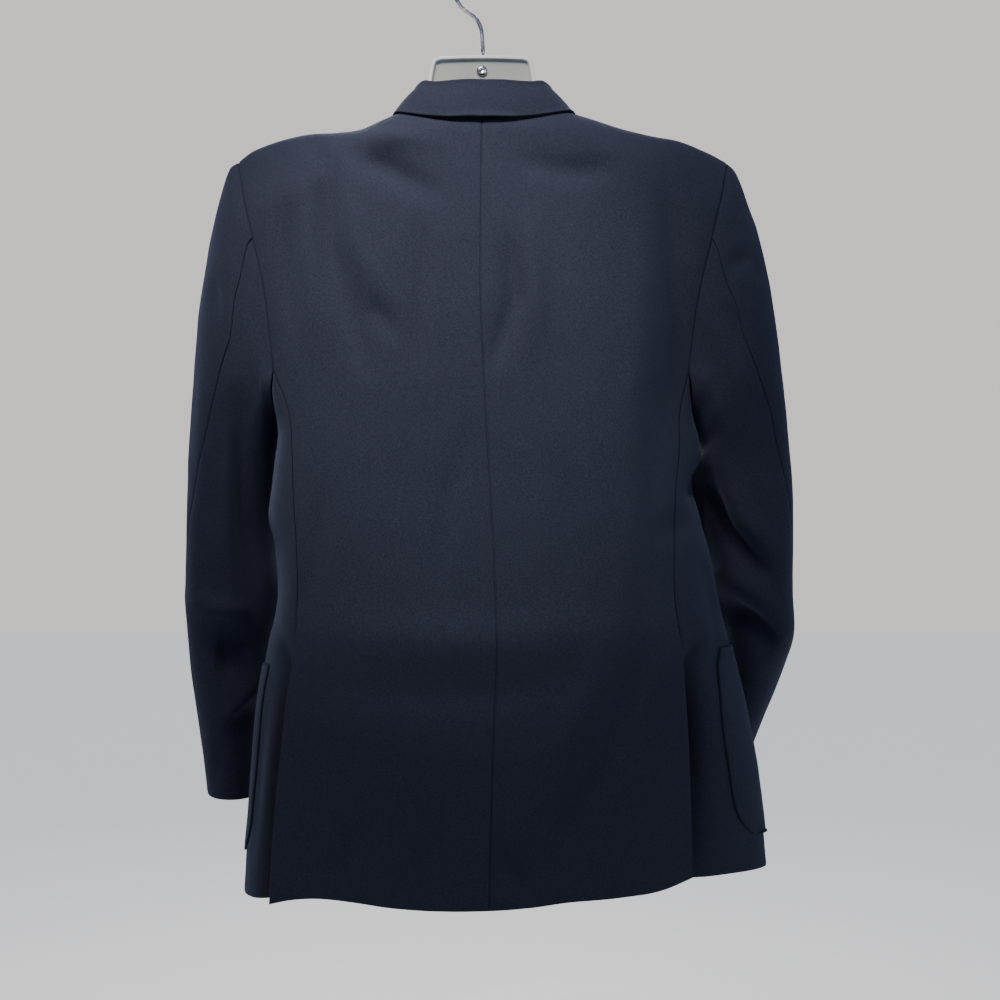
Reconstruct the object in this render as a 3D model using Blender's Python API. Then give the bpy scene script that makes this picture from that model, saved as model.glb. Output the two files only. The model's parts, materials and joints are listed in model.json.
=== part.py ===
"""A tailored navy blazer hanging back to front on a moulded hanger.

The origin is the underside of the hook's top, +Z is up, the back faces +Y and the wearer's left is +X.
Places are given as `x` or as `out`, the distance from the plane X = 0 on either side, and as `down`, the
distance below the origin. Every panel is a closed wall: an outer grid of points, an inner one, and rims.
"""

import math

import bmesh
import bpy
import numpy as np
from mathutils import Vector

# Driving sizes, in metres.
WALL = 0.0020
SEAM_GAP = 0.0003
NECK_OUT = 0.0755
SHOULDER_OUT = 0.2385
NECK_DIP = 0.012
ARMHOLE_END = 0.404
UNDERARM_DIP = 0.034
RIGHT_ARMHOLE_SHIFT = 0.0020
SIDE_SLOPE_BACK = 0.45
SIDE_SLOPE_FRONT = 0.25
PANEL_POWER = 3.0
VENT_TOP = 0.655
VENT_LAP = 0.016
SIDE_HEM_RISE = {1: (0.006, 6.0), -1: (-0.004, 1.5)}
ARMHOLE_ROWS = 10
LOWER_ROWS = 13
BACK_COLUMNS = 12
FRONT_COLUMNS = 11
SIDE_COLUMNS = 7
OVERLAP_LIFT = 0.0070
FRONT_CENTRE = -0.004
BREAK_DOWN = 0.560
HIND_SEAM = 6
FORE_SEAM = 20
ARMHOLE_POINTS = 2 * ARMHOLE_ROWS + SIDE_COLUMNS - 1
LEFT, RIGHT = 1, -1


def smooth(keys, values, at):
    """A smooth curve through the values, level beyond its ends."""
    slopes = np.gradient(values, keys)
    at = np.clip(at, keys[0], keys[-1])
    low = np.clip(np.searchsorted(keys, at) - 1, 0, len(keys) - 2)
    width = keys[low + 1] - keys[low]
    t = (at - keys[low]) / width
    start = values[low] * (1 + 2 * t) + slopes[low] * width * t
    end = values[low + 1] * (3 - 2 * t) - slopes[low + 1] * width * (1 - t)
    return start * (1 - t) ** 2 + end * t**2


class Table:
    """Rows of numbers with named columns. table("name", at) reads a column between its rows."""

    def __init__(self, names, *rows):
        self.names = names.split()
        self.columns = dict(zip(self.names, np.array(rows, float).T))
        self.keys = self.columns[self.names[0]]

    def __call__(self, name, at):
        return smooth(self.keys, self.columns[name], np.asarray(at, float))


# The top of each shoulder, from the neck to the sleeve head.
SHOULDER = Table(
    "out left right",
    (0.000, 0.1480, 0.1480),
    (0.040, 0.1478, 0.1476),
    (0.065, 0.1474, 0.1466),
    (0.080, 0.1492, 0.1476),
    (0.095, 0.1550, 0.1516),
    (0.118, 0.1648, 0.1584),
    (0.140, 0.1675, 0.1648),
    (0.165, 0.1684, 0.1703),
    (0.190, 0.1728, 0.1746),
    (0.212, 0.1796, 0.1827),
    (0.226, 0.1857, 0.1886),
    (0.2405, 0.1965, 0.1965),
)
# How far out the armhole seam lies, on the back and on the front.
ARMHOLE = Table(
    "down back front",
    (0.195, 0.2385, 0.2385),
    (0.203, 0.2361, 0.2345),
    (0.227, 0.2301, 0.2230),
    (0.254, 0.2227, 0.2110),
    (0.278, 0.2165, 0.2020),
    (0.304, 0.2099, 0.1945),
    (0.328, 0.2046, 0.1890),
    (0.357, 0.2004, 0.1860),
    (0.385, 0.1976, 0.1855),
    (0.404, 0.1957, 0.1865),
)
# The centre-back seam swings a little to the right at the waist.
CENTRE = Table(
    "down x",
    (0.158, -0.0006),
    (0.246, 0.0001),
    (0.345, -0.0001),
    (0.390, -0.0020),
    (0.446, -0.0048),
    (0.500, -0.0080),
    (0.560, -0.0114),
    (0.627, -0.0140),
    (0.668, -0.0149),
    (0.715, -0.0129),
    (0.770, -0.0110),
    (0.910, -0.0074),
)
# Sections of the body: how far out each side seam lies, and the widest place between the seams.
SECTION = Table(
    "down left_back right_back left_side right_side left_front right_front",
    (0.404, 0.1957, 0.1977, 0.1980, 0.2010, 0.1865, 0.1885),
    (0.446, 0.1800, 0.1890, 0.2000, 0.2120, 0.1845, 0.1880),
    (0.475, 0.1775, 0.1885, 0.2030, 0.2160, 0.1840, 0.1900),
    (0.515, 0.1762, 0.1845, 0.2068, 0.2085, 0.1840, 0.1900),
    (0.545, 0.1745, 0.1830, 0.2100, 0.2166, 0.1845, 0.1920),
    (0.580, 0.1725, 0.1822, 0.2035, 0.2262, 0.1850, 0.1960),
    (0.620, 0.1722, 0.1823, 0.2022, 0.2350, 0.1870, 0.2030),
    (0.668, 0.1755, 0.1893, 0.2130, 0.2478, 0.1930, 0.2180),
    (0.715, 0.1830, 0.1942, 0.2222, 0.2608, 0.1985, 0.2310),
    (0.770, 0.1890, 0.1978, 0.2280, 0.2730, 0.2030, 0.2400),
    (0.830, 0.1950, 0.2006, 0.2325, 0.2830, 0.2070, 0.2470),
    (0.930, 0.2015, 0.2030, 0.2404, 0.2940, 0.2120, 0.2540),
)
# How far the back stands off the hanger's plane, at its centre and at each outer edge.
BACK = Table(
    "down centre left right",
    (0.148, 0.0450, 0.0240, 0.0240),
    (0.200, 0.0530, 0.0245, 0.0245),
    (0.246, 0.0600, 0.0370, 0.0370),
    (0.300, 0.0670, 0.0465, 0.0465),
    (0.345, 0.0720, 0.0510, 0.0510),
    (0.404, 0.0765, 0.0500, 0.0500),
    (0.446, 0.0785, 0.0540, 0.0520),
    (0.526, 0.0800, 0.0560, 0.0560),
    (0.620, 0.0810, 0.0560, 0.0560),
    (0.668, 0.0830, 0.0570, 0.0540),
    (0.715, 0.0800, 0.0575, 0.0450),
    (0.770, 0.0750, 0.0565, 0.0400),
    (0.830, 0.0690, 0.0540, 0.0340),
    (0.930, 0.0620, 0.0490, 0.0270),
)
# The same for the front, measured the other way.
FRONT = Table(
    "down centre left right",
    (0.148, 0.0400, 0.0250, 0.0250),
    (0.200, 0.0550, 0.0300, 0.0300),
    (0.246, 0.0640, 0.0420, 0.0420),
    (0.300, 0.0720, 0.0540, 0.0540),
    (0.345, 0.0780, 0.0600, 0.0600),
    (0.404, 0.0820, 0.0580, 0.0580),
    (0.446, 0.0830, 0.0560, 0.0580),
    (0.526, 0.0800, 0.0560, 0.0600),
    (0.620, 0.0760, 0.0600, 0.0660),
    (0.715, 0.0760, 0.0660, 0.0780),
    (0.830, 0.0790, 0.0700, 0.0850),
    (0.930, 0.0820, 0.0720, 0.0880),
)
# The lower edge of the back. Its x runs over both halves.
BACK_HEM = Table(
    "x down",
    (-0.2030, 0.8880),
    (-0.1720, 0.8957),
    (-0.1300, 0.8992),
    (-0.0800, 0.9016),
    (-0.0450, 0.9060),
    (0.0870, 0.9062),
    (0.1200, 0.9016),
    (0.1563, 0.8992),
    (0.1780, 0.9013),
    (0.2015, 0.9070),
)
# The inner edge of a front: the lapel's fold line, the closing edge and the rounded lower corner.
FRONT_EDGE = Table(
    "down from_centre",
    (0.1468, -0.0790),
    (0.2150, -0.0590),
    (0.3300, -0.0330),
    (0.4450, -0.0090),
    (0.5600, 0.0140),
    (0.6500, 0.0150),
    (0.7500, 0.0130),
    (0.8000, 0.0070),
    (0.8450, -0.0080),
    (0.8800, -0.0320),
    (0.9050, -0.0680),
)
# How deep each vent's underlap lies behind the back.
VENT_SINK = Table(
    "down left right",
    (0.600, 0.0000, 0.0000),
    (0.645, 0.0030, 0.0030),
    (0.700, 0.0032, 0.0040),
    (0.770, 0.0034, 0.0060),
    (0.930, 0.0040, 0.0110),
)
# Folds on the back: the height of each, its half width, and three points along it.
BACK_FOLDS = (
    (0.0025, 0.008, (0.1123, 0.1854), (0.0800, 0.1880), (0.0380, 0.1919)),
    (-0.0050, 0.012, (0.1355, 0.1966), (0.0937, 0.2058), (0.0288, 0.2151)),
    (-0.0060, 0.020, (0.1512, 0.2383), (0.1262, 0.3682), (0.0752, 0.4610)),
    (-0.0030, 0.012, (0.1837, 0.2476), (0.1815, 0.3000), (0.1790, 0.3590)),
    (-0.0030, 0.009, (-0.0223, 0.2754), (-0.0288, 0.3404), (-0.0176, 0.3933)),
    (-0.0055, 0.014, (-0.1810, 0.2290), (-0.1875, 0.3680), (-0.1754, 0.4980)),
    (-0.0030, 0.015, (-0.0826, 0.2198), (-0.0960, 0.2450), (-0.1104, 0.2754)),
    (-0.0040, 0.016, (-0.1568, 0.6652), (-0.1104, 0.7673), (-0.0455, 0.8972)),
    (-0.0040, 0.012, (0.1200, 0.8250), (0.1250, 0.8550), (0.1309, 0.8850)),
    (-0.0030, 0.012, (-0.0150, 0.8500), (-0.0250, 0.8700), (-0.0408, 0.8900)),
)
# Rings of the sleeves, from the armhole to the cuff. Each ring runs from its outer point, over the back
# at +Y, to its inner point beside the body. The seams' angles are counted the same way, in degrees. The
# columns are: out, down, under_out, under_down, middle, half_depth, hind, fore and lean.
SLEEVES = {
    LEFT: (
        (0.2385, 0.1950, 0.1987, 0.4330, -0.002, 0.055, 84, 278, 0.000),
        (0.2470, 0.2015, 0.1996, 0.4370, -0.003, 0.056, 86, 277, 0.000),
        (0.2540, 0.2220, 0.2002, 0.4410, -0.005, 0.058, 90, 275, 0.000),
        (0.2620, 0.2500, 0.2010, 0.4460, -0.007, 0.060, 94, 272, 0.000),
        (0.2702, 0.2930, 0.2020, 0.4530, -0.010, 0.061, 96, 268, 0.000),
        (0.2772, 0.3370, 0.2032, 0.4620, -0.013, 0.061, 94, 264, 0.000),
        (0.2824, 0.3850, 0.2048, 0.4740, -0.016, 0.060, 88, 258, 0.000),
        (0.2864, 0.4300, 0.2068, 0.4900, -0.019, 0.059, 78, 250, -0.003),
        (0.2905, 0.4720, 0.2092, 0.5120, -0.022, 0.058, 62, 242, -0.008),
        (0.2925, 0.5150, 0.2115, 0.5400, -0.026, 0.056, 40, 232, -0.012),
        (0.2945, 0.5600, 0.2115, 0.5740, -0.030, 0.054, 18, 222, -0.016),
        (0.2973, 0.6100, 0.2080, 0.6150, -0.036, 0.052, 4, 212, -0.018),
        (0.2982, 0.6500, 0.2125, 0.6530, -0.043, 0.051, -4, 206, -0.016),
        (0.2966, 0.6950, 0.2215, 0.6960, -0.054, 0.050, -8, 202, -0.008),
        (0.2932, 0.7400, 0.2300, 0.7400, -0.069, 0.051, -10, 200, 0.000),
        (0.2905, 0.7850, 0.2320, 0.7870, -0.083, 0.052, -10, 200, 0.000),
        (0.2880, 0.8300, 0.2320, 0.8320, -0.095, 0.052, -10, 200, 0.000),
    ),
    RIGHT: (
        (0.2405, 0.1965, 0.2018, 0.4330, -0.002, 0.055, 84, 278, 0.000),
        (0.2495, 0.2070, 0.2036, 0.4370, -0.003, 0.056, 86, 277, 0.000),
        (0.2602, 0.2350, 0.2060, 0.4410, -0.005, 0.058, 90, 275, 0.000),
        (0.2700, 0.2610, 0.2085, 0.4460, -0.007, 0.060, 92, 272, 0.000),
        (0.2800, 0.3000, 0.2115, 0.4530, -0.010, 0.061, 92, 268, 0.000),
        (0.2870, 0.3400, 0.2150, 0.4620, -0.013, 0.061, 90, 264, 0.000),
        (0.2933, 0.3860, 0.2180, 0.4740, -0.016, 0.060, 82, 258, -0.006),
        (0.2992, 0.4300, 0.2140, 0.4900, -0.019, 0.059, 70, 250, -0.016),
        (0.3040, 0.4720, 0.2110, 0.5120, -0.022, 0.058, 52, 242, -0.026),
        (0.3083, 0.5200, 0.2170, 0.5400, -0.025, 0.056, 32, 232, -0.026),
        (0.3097, 0.5700, 0.2260, 0.5740, -0.030, 0.053, 14, 222, -0.025),
        (0.3118, 0.6170, 0.2370, 0.6150, -0.040, 0.050, 4, 212, -0.025),
        (0.3175, 0.6620, 0.2480, 0.6550, -0.058, 0.048, -4, 206, -0.018),
        (0.3150, 0.7000, 0.2540, 0.7010, -0.094, 0.046, -8, 202, -0.006),
        (0.3030, 0.7500, 0.2380, 0.7440, -0.122, 0.043, -10, 200, 0.000),
        (0.2890, 0.7960, 0.2140, 0.7870, -0.135, 0.041, -10, 200, 0.000),
        (0.2740, 0.8400, 0.1930, 0.8260, -0.143, 0.041, -10, 200, 0.000),
    ),
}
# Folds on the backs of the sleeves, in the same form, with `out` in place of x.
SLEEVE_FOLDS = {
    LEFT: (
        (-0.0040, 0.010, (0.2740, 0.3150), (0.2700, 0.3350), (0.2640, 0.3600)),
        (-0.0070, 0.010, (0.2920, 0.6280), (0.2700, 0.6450), (0.2400, 0.6520)),
        (-0.0050, 0.009, (0.2800, 0.6650), (0.2700, 0.6900), (0.2550, 0.7150)),
    ),
    RIGHT: (
        (-0.0040, 0.010, (0.2350, 0.3050), (0.2450, 0.3000), (0.2560, 0.2950)),
        (-0.0040, 0.011, (0.2300, 0.3400), (0.2380, 0.3600), (0.2450, 0.3900)),
        (-0.0130, 0.012, (0.2200, 0.5000), (0.2420, 0.5500), (0.2720, 0.5850)),
        (-0.0110, 0.011, (0.2420, 0.6050), (0.2720, 0.6300), (0.3050, 0.6600)),
    ),
}
# The collar from the centre back to the notch, for the left half: its lower edge inside the neck, its
# fold and its outer edge.
COLLAR = Table(
    "station base_out base_y base_down fold_out fold_y fold_down edge_out edge_y edge_down",
    (0.00, 0.0000, 0.0355, 0.1595, 0.0000, 0.0345, 0.1262, 0.0000, 0.0490, 0.1670),
    (0.17, 0.0250, 0.0335, 0.1579, 0.0230, 0.0328, 0.1260, 0.0300, 0.0480, 0.1655),
    (0.33, 0.0480, 0.0274, 0.1543, 0.0430, 0.0270, 0.1256, 0.0580, 0.0410, 0.1610),
    (0.46, 0.0640, 0.0180, 0.1502, 0.0558, 0.0162, 0.1260, 0.0780, 0.0270, 0.1550),
    (0.58, 0.0735, 0.0000, 0.1475, 0.0625, 0.0000, 0.1305, 0.0880, 0.0000, 0.1490),
    (0.72, 0.0690, -0.0220, 0.1580, 0.0645, -0.0260, 0.1470, 0.0950, -0.0300, 0.1640),
    (0.86, 0.0630, -0.0430, 0.1800, 0.0595, -0.0510, 0.1740, 0.1020, -0.0560, 0.2030),
    (1.00, 0.0545, -0.0540, 0.2080, 0.0540, -0.0630, 0.2050, 0.0930, -0.0640, 0.2320),
)
COLLAR_WALL = 0.0018
COLLAR_FOLD_RADIUS = 0.0032
COLLAR_CLEARANCE = 0.0016
NECK_CLEARANCE = 0.0008
# The lapel's outer edge, from its point at the notch to the top button.
LAPEL = Table(
    "along out down",
    (0.00, 0.1250, 0.2600),
    (0.25, 0.1180, 0.3300),
    (0.50, 0.0930, 0.4080),
    (0.75, 0.0530, 0.4850),
    (1.00, -0.0050, 0.5560),
)
LAPEL_TOP = 0.2110
LAPEL_WALL = 0.0022
# The pockets: where the rear edge starts along the side panel, and its height.
POCKET_TOP = {LEFT: 0.692, RIGHT: 0.676}
POCKET_BOTTOM = {LEFT: 0.885, RIGHT: 0.870}
POCKET_WIDTH = 0.168
POCKET_CORNER = 0.040
POCKET_WALL = 0.0015
POCKET_LIFT = {LEFT: 0.0010, RIGHT: 0.0019}
POCKET_FIRST = {LEFT: 3, RIGHT: 3}
POCKET_COLUMNS = 6
POCKET_LEAST_STEP = 0.002
POCKET_REAR = {LEFT: 0.064, RIGHT: 0.064}
POCKET_LEAN = {LEFT: 0.006, RIGHT: 0.014}
BUTTON_DOWNS = {"button_upper": 0.580, "button_lower": 0.690}
BUTTON_RADIUS = 0.0100
BUTTON_HEIGHT = 0.0034
# The hanger.
PLATE_TOP = 0.0925
PLATE_THICK = 0.014
PLATE_SIDE = ((0.0400, 0.0935), (0.0470, 0.0955), (0.0495, 0.1010), (0.0523, 0.1170), (0.0560, 0.1300))
ARM_TIP = 0.2200
ARM_DEPTH = 0.030
RIM = 0.0045
WEB_RECESS = 0.0038
WIRE_RADIUS = 0.0020
LOOP_RADIUS = 0.0270
RIVET_DOWN = 0.1070

COLOURS = {
    "cloth": ((0.020, 0.024, 0.042), 0.88, 0.0),
    "plastic": ((0.62, 0.62, 0.64), 0.40, 0.0),
    "steel": ((0.55, 0.55, 0.56), 0.30, 1.0),
    "brass": ((0.52, 0.38, 0.16), 0.35, 1.0),
}


def side_name(side):
    return "left" if side == LEFT else "right"


def step_between(low, high, at):
    """0 below low, 1 above high, and smooth between."""
    t = np.clip((at - low) / (high - low), 0, 1)
    return t * t * (3 - 2 * t)


def fold_height(folds, x, down):
    """The sum of the folds at these places. Each fades out sideways and towards its ends."""
    total = np.zeros(np.broadcast(x, down).shape)
    for height, width, start, middle, end in folds:
        nearest = np.full(total.shape, np.inf)
        along = np.zeros(total.shape)
        for index, (a, b) in enumerate(((start, middle), (middle, end))):
            run = np.array(b) - np.array(a)
            t = np.clip(((x - a[0]) * run[0] + (down - a[1]) * run[1]) / (run @ run), 0, 1)
            away = np.hypot(x - a[0] - t * run[0], down - a[1] - t * run[1])
            along = np.where(away < nearest, (index + t) / 2, along)
            nearest = np.minimum(nearest, away)
        taper = 0.25 + 0.75 * np.sin(np.pi * along) ** 0.7
        total = total + height * taper * np.exp(-((nearest / width) ** 2))
    return total


def pick(table, x, down, columns=("left", "right")):
    """A left or right column, by the side that x lies on."""
    return np.where(x > 0, table(columns[0], down), table(columns[1], down))


def ridge(x):
    """How far down the shoulder's top line is."""
    return pick(SHOULDER, x, np.abs(x))


def roll_radius(x):
    """How far down the cloth goes while it rolls over the shoulder: more at the sleeve than at the neck."""
    return 0.030 + 0.070 * (np.abs(x) / SHOULDER_OUT) ** 2


def roll(x, down):
    """0 on the shoulder's top line, 1 where the panel has rolled over and hangs."""
    t = np.clip((down - ridge(x)) / roll_radius(x), 0, 1)
    return np.sqrt(t * (2 - t))


def armhole_out(side, column, down):
    shift = 0 if side == LEFT else RIGHT_ARMHOLE_SHIFT
    return ARMHOLE(column, down) + shift


def edge_out(side, column, down):
    """How far out a panel's outer edge is: the armhole above, and the side seam below."""
    seam = SECTION(f"{side_name(side)}_{column}", down)
    return np.where(down < ARMHOLE_END, armhole_out(side, column, down), seam)


def hung_depth(table, column, centre, x, down):
    """How far a panel hangs from the hanger's plane, before it rolls over at the shoulder."""
    edge = np.where(x > centre, edge_out(LEFT, column, down), -edge_out(RIGHT, column, down))
    across = np.clip(np.abs((x - centre) / (edge - centre)), 0, 1.1)
    middle = table("centre", down)
    side = np.where(x > centre, table("left", down), table("right", down))
    return middle - (middle - side) * across**PANEL_POWER


def back_y(x, down):
    """The outer face of the back."""
    hung = hung_depth(BACK, "back", CENTRE("x", down), x, down)
    return hung * roll(x, down) + fold_height(BACK_FOLDS, x, down)


def front_y(x, down):
    """The outer face of the fronts, without the overlap of one over the other."""
    return -hung_depth(FRONT, "front", FRONT_CENTRE, x, down) * roll(x, down)


def body_level(place):
    """Below 0 inside the shoulders' rounded form, above 0 outside it."""
    x, y, down = place[..., 0], place[..., 1], -place[..., 2]
    back = hung_depth(BACK, "back", CENTRE("x", down), x, down)
    front = hung_depth(FRONT, "front", FRONT_CENTRE, x, down)
    depth = np.where(y > 0, back, front)
    fall = np.minimum((down - ridge(x)) / roll_radius(x), 1)
    return (y / depth) ** 2 + (1 - fall) ** 2 - 1


def push_out(place, distance):
    """Moves points straight out of the body until they are this far from it."""
    nudge = 1e-5
    for _ in range(4):
        level = body_level(place)
        slopes = [body_level(place + step) - body_level(place - step) for step in np.eye(3) * nudge]
        slope = np.stack(slopes, axis=-1) / (2 * nudge)
        steepness = np.maximum(np.linalg.norm(slope, axis=-1), 1e-6)
        short = np.maximum(distance - level / steepness, 0)
        place = place + slope / steepness[..., None] * short[..., None]
    return place


def overlap(side, x, down):
    """The left front lies over the right one near the closing edge."""
    if side == RIGHT:
        return np.zeros(np.broadcast(x, down).shape)
    near = 1 - step_between(0.030, 0.110, np.abs(x - FRONT_CENTRE))
    return OVERLAP_LIFT * near * step_between(0.30, 0.44, down)


def front_face(side, x, down):
    return front_y(x, down) - overlap(side, x, down)


def points(x, y, down):
    return np.stack(np.broadcast_arrays(x, y, -np.asarray(down)), axis=-1).astype(float)


def hem_down(side):
    """The lower end of the back's outer edge."""
    return float(BACK_HEM("down", side * SECTION(f"{side_name(side)}_back", 0.905)))


def row_levels(top, end):
    """The rows' places along an edge, close together where the shoulder rolls over."""
    drops = (np.arange(ARMHOLE_ROWS + 1) / ARMHOLE_ROWS) ** 1.8
    upper = top + (ARMHOLE_END - top) * drops
    lower = np.linspace(ARMHOLE_END, end, LOWER_ROWS + 1)[1:]
    return np.concatenate([upper, lower])


def outer_levels(side, end):
    return row_levels(float(ridge(side * armhole_out(side, "back", 0.195))), end)


def panel_grid(side, column, inner, levels, top, bottom, columns, face):
    """A back or a front. `inner` gives x along its inner edge, `top` and `bottom` give down along the ends."""
    u = np.linspace(0, 1, columns)[None, :]
    v = row_levels(0.195, 0.900)[:, None]
    v = (v - v[0]) / (v[-1] - v[0])
    outer_down = levels[:, None]
    outer_x = side * edge_out(side, column, outer_down)
    start = top(inner(top(0.0)))
    x_end = float(outer_x[-1, 0])
    inner_end = bottom["inner"]
    inner_down = start + (inner_end - start) * v
    inner_x = inner(inner_down)
    x = inner_x * (1 - u) + outer_x * u
    straight = inner_down * (1 - u) + outer_down * u
    top_gap = top(x[:1]) - straight[:1]
    end_x = inner(inner_end) * (1 - u) + x_end * u
    bottom_gap = bottom["line"](end_x) - straight[-1:]
    down = straight + (1 - v) ** 2 * top_gap + v**2 * bottom_gap
    return points(x, face(x, down), down)


def neck_down(x):
    """The back's upper edge: the dip of the neck, then the shoulder's top line."""
    return ridge(x) + NECK_DIP * np.clip(1 - (x / NECK_OUT) ** 2, 0, 1)


def back_grid(side):
    levels = outer_levels(side, hem_down(side))

    def inner(down):
        return CENTRE("x", down)

    def hem(x):
        return BACK_HEM("down", x)

    bottom = {"inner": float(hem(inner(0.906))), "line": hem}
    return panel_grid(side, "back", inner, levels, neck_down, bottom, BACK_COLUMNS, back_y)


def front_hem(side):
    """The lower edge of a front: level with the rounded corner in front and a little lower at the side."""
    low = {LEFT: 0.9250, RIGHT: 0.9055}[side]
    return lambda x: 0.9050 + (low - 0.9050) * step_between(0.07, 0.19, np.abs(x))


def front_grid(side, columns=FRONT_COLUMNS):
    end = float(front_hem(side)(side * 0.2))
    levels = outer_levels(side, end)

    def inner(down):
        return FRONT_CENTRE - side * FRONT_EDGE("from_centre", down)

    def top(x):
        return ridge(x)

    def face(x, down):
        return front_face(side, x, down)

    bottom = {"inner": 0.9050, "line": front_hem(side)}
    return panel_grid(side, "front", inner, levels, top, bottom, columns, face)


def side_section(side, t, back_down, front_down):
    """The side panel between its two seams, as a rounded section that reaches the body's widest place."""
    name = side_name(side)
    lap = VENT_LAP * step_between(VENT_TOP - 0.005, VENT_TOP + 0.035, back_down)
    sink = VENT_SINK(name, back_down)
    back_out = edge_out(side, "back", back_down) - lap
    front_out = edge_out(side, "front", front_down)
    back_depth = back_y(side * back_out, back_down) - sink
    front_depth = front_face(side, side * front_out, front_down)
    down = back_down * (1 - t) + front_down * t
    spread = front_out - back_out
    bulge = np.maximum(SECTION(f"{name}_side", down) - (back_out + front_out) / 2, 0.003)
    bulge = np.maximum(bulge - 2.25 * spread**2 / (16 * bulge), 0.002)
    ease = t * t * (3 - 2 * t)
    out = back_out + spread * ease + 4 * bulge * t * (1 - t)
    turn = 4 * bulge * t * (1 - t) * (SIDE_SLOPE_BACK * (1 - t) - SIDE_SLOPE_FRONT * t)
    y = back_depth + (front_depth - back_depth) * ease - turn
    return points(side * out, y, down)


def side_grid(side, columns=SIDE_COLUMNS):
    back_levels = outer_levels(side, hem_down(side))[ARMHOLE_ROWS:, None]
    front_levels = outer_levels(side, float(front_hem(side)(side * 0.2)))[ARMHOLE_ROWS:, None]
    t = np.linspace(0, 1, columns)[None, :]
    grid = side_section(side, t, back_levels, front_levels)
    fade = (1 - step_between(ARMHOLE_END, 0.56, back_levels)) ** 2
    grid[:, :, 2] -= UNDERARM_DIP * fade * (4 * t * (1 - t)) ** 0.8
    rise, fall_off = SIDE_HEM_RISE[side]
    grid[:, :, 2] += rise * step_between(0.75, 0.90, back_levels) * (1 - t) ** fall_off
    return grid


def armhole_loop(side, back, front, middle):
    """The armhole seam, from the shoulder down the back, under the arm and up the front."""
    top = back[:1, -1]
    under = middle[0, 1:-1] + [side * 0.0007, 0, 0]
    return np.concatenate([top, back[1 : ARMHOLE_ROWS + 1, -1], under, front[ARMHOLE_ROWS:0:-1, -1]])


def loop_angles(loop, under_index):
    """Each point's angle round the armhole, by its distance along the seam from the shoulder."""
    closed = np.vstack([loop, loop[:1]])
    along = np.concatenate([[0], np.cumsum(np.linalg.norm(np.diff(closed, axis=0), axis=1))])
    half = along[under_index]
    return np.where(along < half, along / half, 1 + (along - half) / (along[-1] - half)) * math.pi


def ring_points(side, row, angles):
    """One ring of a sleeve, a slightly square oval that leans forward towards the body by the row's last number."""
    out, down, under_out, under_down, middle, half_depth = row[:6]
    cos = np.sign(np.cos(angles)) * np.abs(np.cos(angles)) ** 0.9
    sin = np.sign(np.sin(angles)) * np.abs(np.sin(angles)) ** 0.9
    ring_out = (out + under_out) / 2 + (out - under_out) / 2 * cos
    ring_down = (down + under_down) / 2 + (down - under_down) / 2 * cos
    return points(side * ring_out, middle + half_depth * sin + row[8] * (1 - cos) / 2, ring_down)


def sleeve_grids(side, loop):
    """The under and top sleeves. Their columns start on the armhole's points and spread out below."""
    count = len(loop)
    start = loop_angles(loop, ARMHOLE_ROWS + 3)
    misfit = loop - ring_points(side, SLEEVES[side][0], start[:count])
    middle = np.array([[ring_points(side, row, np.arange(8) * math.pi / 4).mean(axis=0)] for row in SLEEVES[side]])
    grids, normals = [], []
    for first, last in ((HIND_SEAM, FORE_SEAM), (FORE_SEAM, count + HIND_SEAM)):
        index = np.arange(first, last + 1)
        turned = start[index % count] + 2 * math.pi * (index // count)
        share = np.linspace(0, 1, len(index))
        rings = []
        for number, row in enumerate(SLEEVES[side]):
            hind, fore = math.radians(row[6]), math.radians(row[7])
            ends = (hind, fore) if first == HIND_SEAM else (fore, hind + 2 * math.pi)
            even = ends[0] + (ends[1] - ends[0]) * share
            spread = step_between(0, 6, float(number))
            ring = ring_points(side, row, turned * (1 - spread) + even * spread)
            rings.append(ring + misfit[index % count] * (1 - step_between(0, 7, float(number))))
        grids.append(np.array(rings))
        normals.append(outward(grids[-1], away_from_middle(grids[-1], middle)))
    join_sleeve(*normals)
    for index, grid in enumerate(grids):
        heights = fold_height(SLEEVE_FOLDS[side], side * grid[..., 0], -grid[..., 2])
        grids[index] = grid + normals[index] * (heights * np.clip(normals[index][..., 1], 0, 1) ** 0.5)[..., None]
    normals = [outward(grid, away_from_middle(grid, middle)) for grid in grids]
    join_sleeve(*normals)
    return zip(grids, normals)


def join_sleeve(under_normals, top_normals):
    share_normals((under_normals, np.s_[:, 0]), (top_normals, np.s_[:, -1]))
    share_normals((under_normals, np.s_[:, -1]), (top_normals, np.s_[:, 0]))


def outward(grid, outside):
    """The grid's normals, on the side that looks in this direction on the whole."""
    across = np.gradient(grid, axis=1)
    along = np.gradient(grid, axis=0)
    normals = np.cross(across, along)
    normals /= np.maximum(np.linalg.norm(normals, axis=2, keepdims=True), 1e-12)
    return normals * math.copysign(1, float((normals.mean(axis=(0, 1)) * np.array(outside)).sum()))


def away_from_middle(grid, middle):
    """The direction in which a sleeve piece's outer face looks on the whole, near the cuff."""
    return (grid[-4:] - middle[-4:]).mean(axis=(0, 1))


def eased(grid, gap=SEAM_GAP):
    """The grid with each edge drawn in by half a seam gap."""
    grid = grid.copy()
    for edge, inside in (
        (np.s_[0], np.s_[1]),
        (np.s_[-1], np.s_[-2]),
        (np.s_[:, 0], np.s_[:, 1]),
        (np.s_[:, -1], np.s_[:, -2]),
    ):
        run = grid[inside] - grid[edge]
        length = np.maximum(np.linalg.norm(run, axis=-1, keepdims=True), 1e-9)
        grid[edge] = grid[edge] + run / length * np.minimum(gap / 2, length / 3)
    return grid


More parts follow.
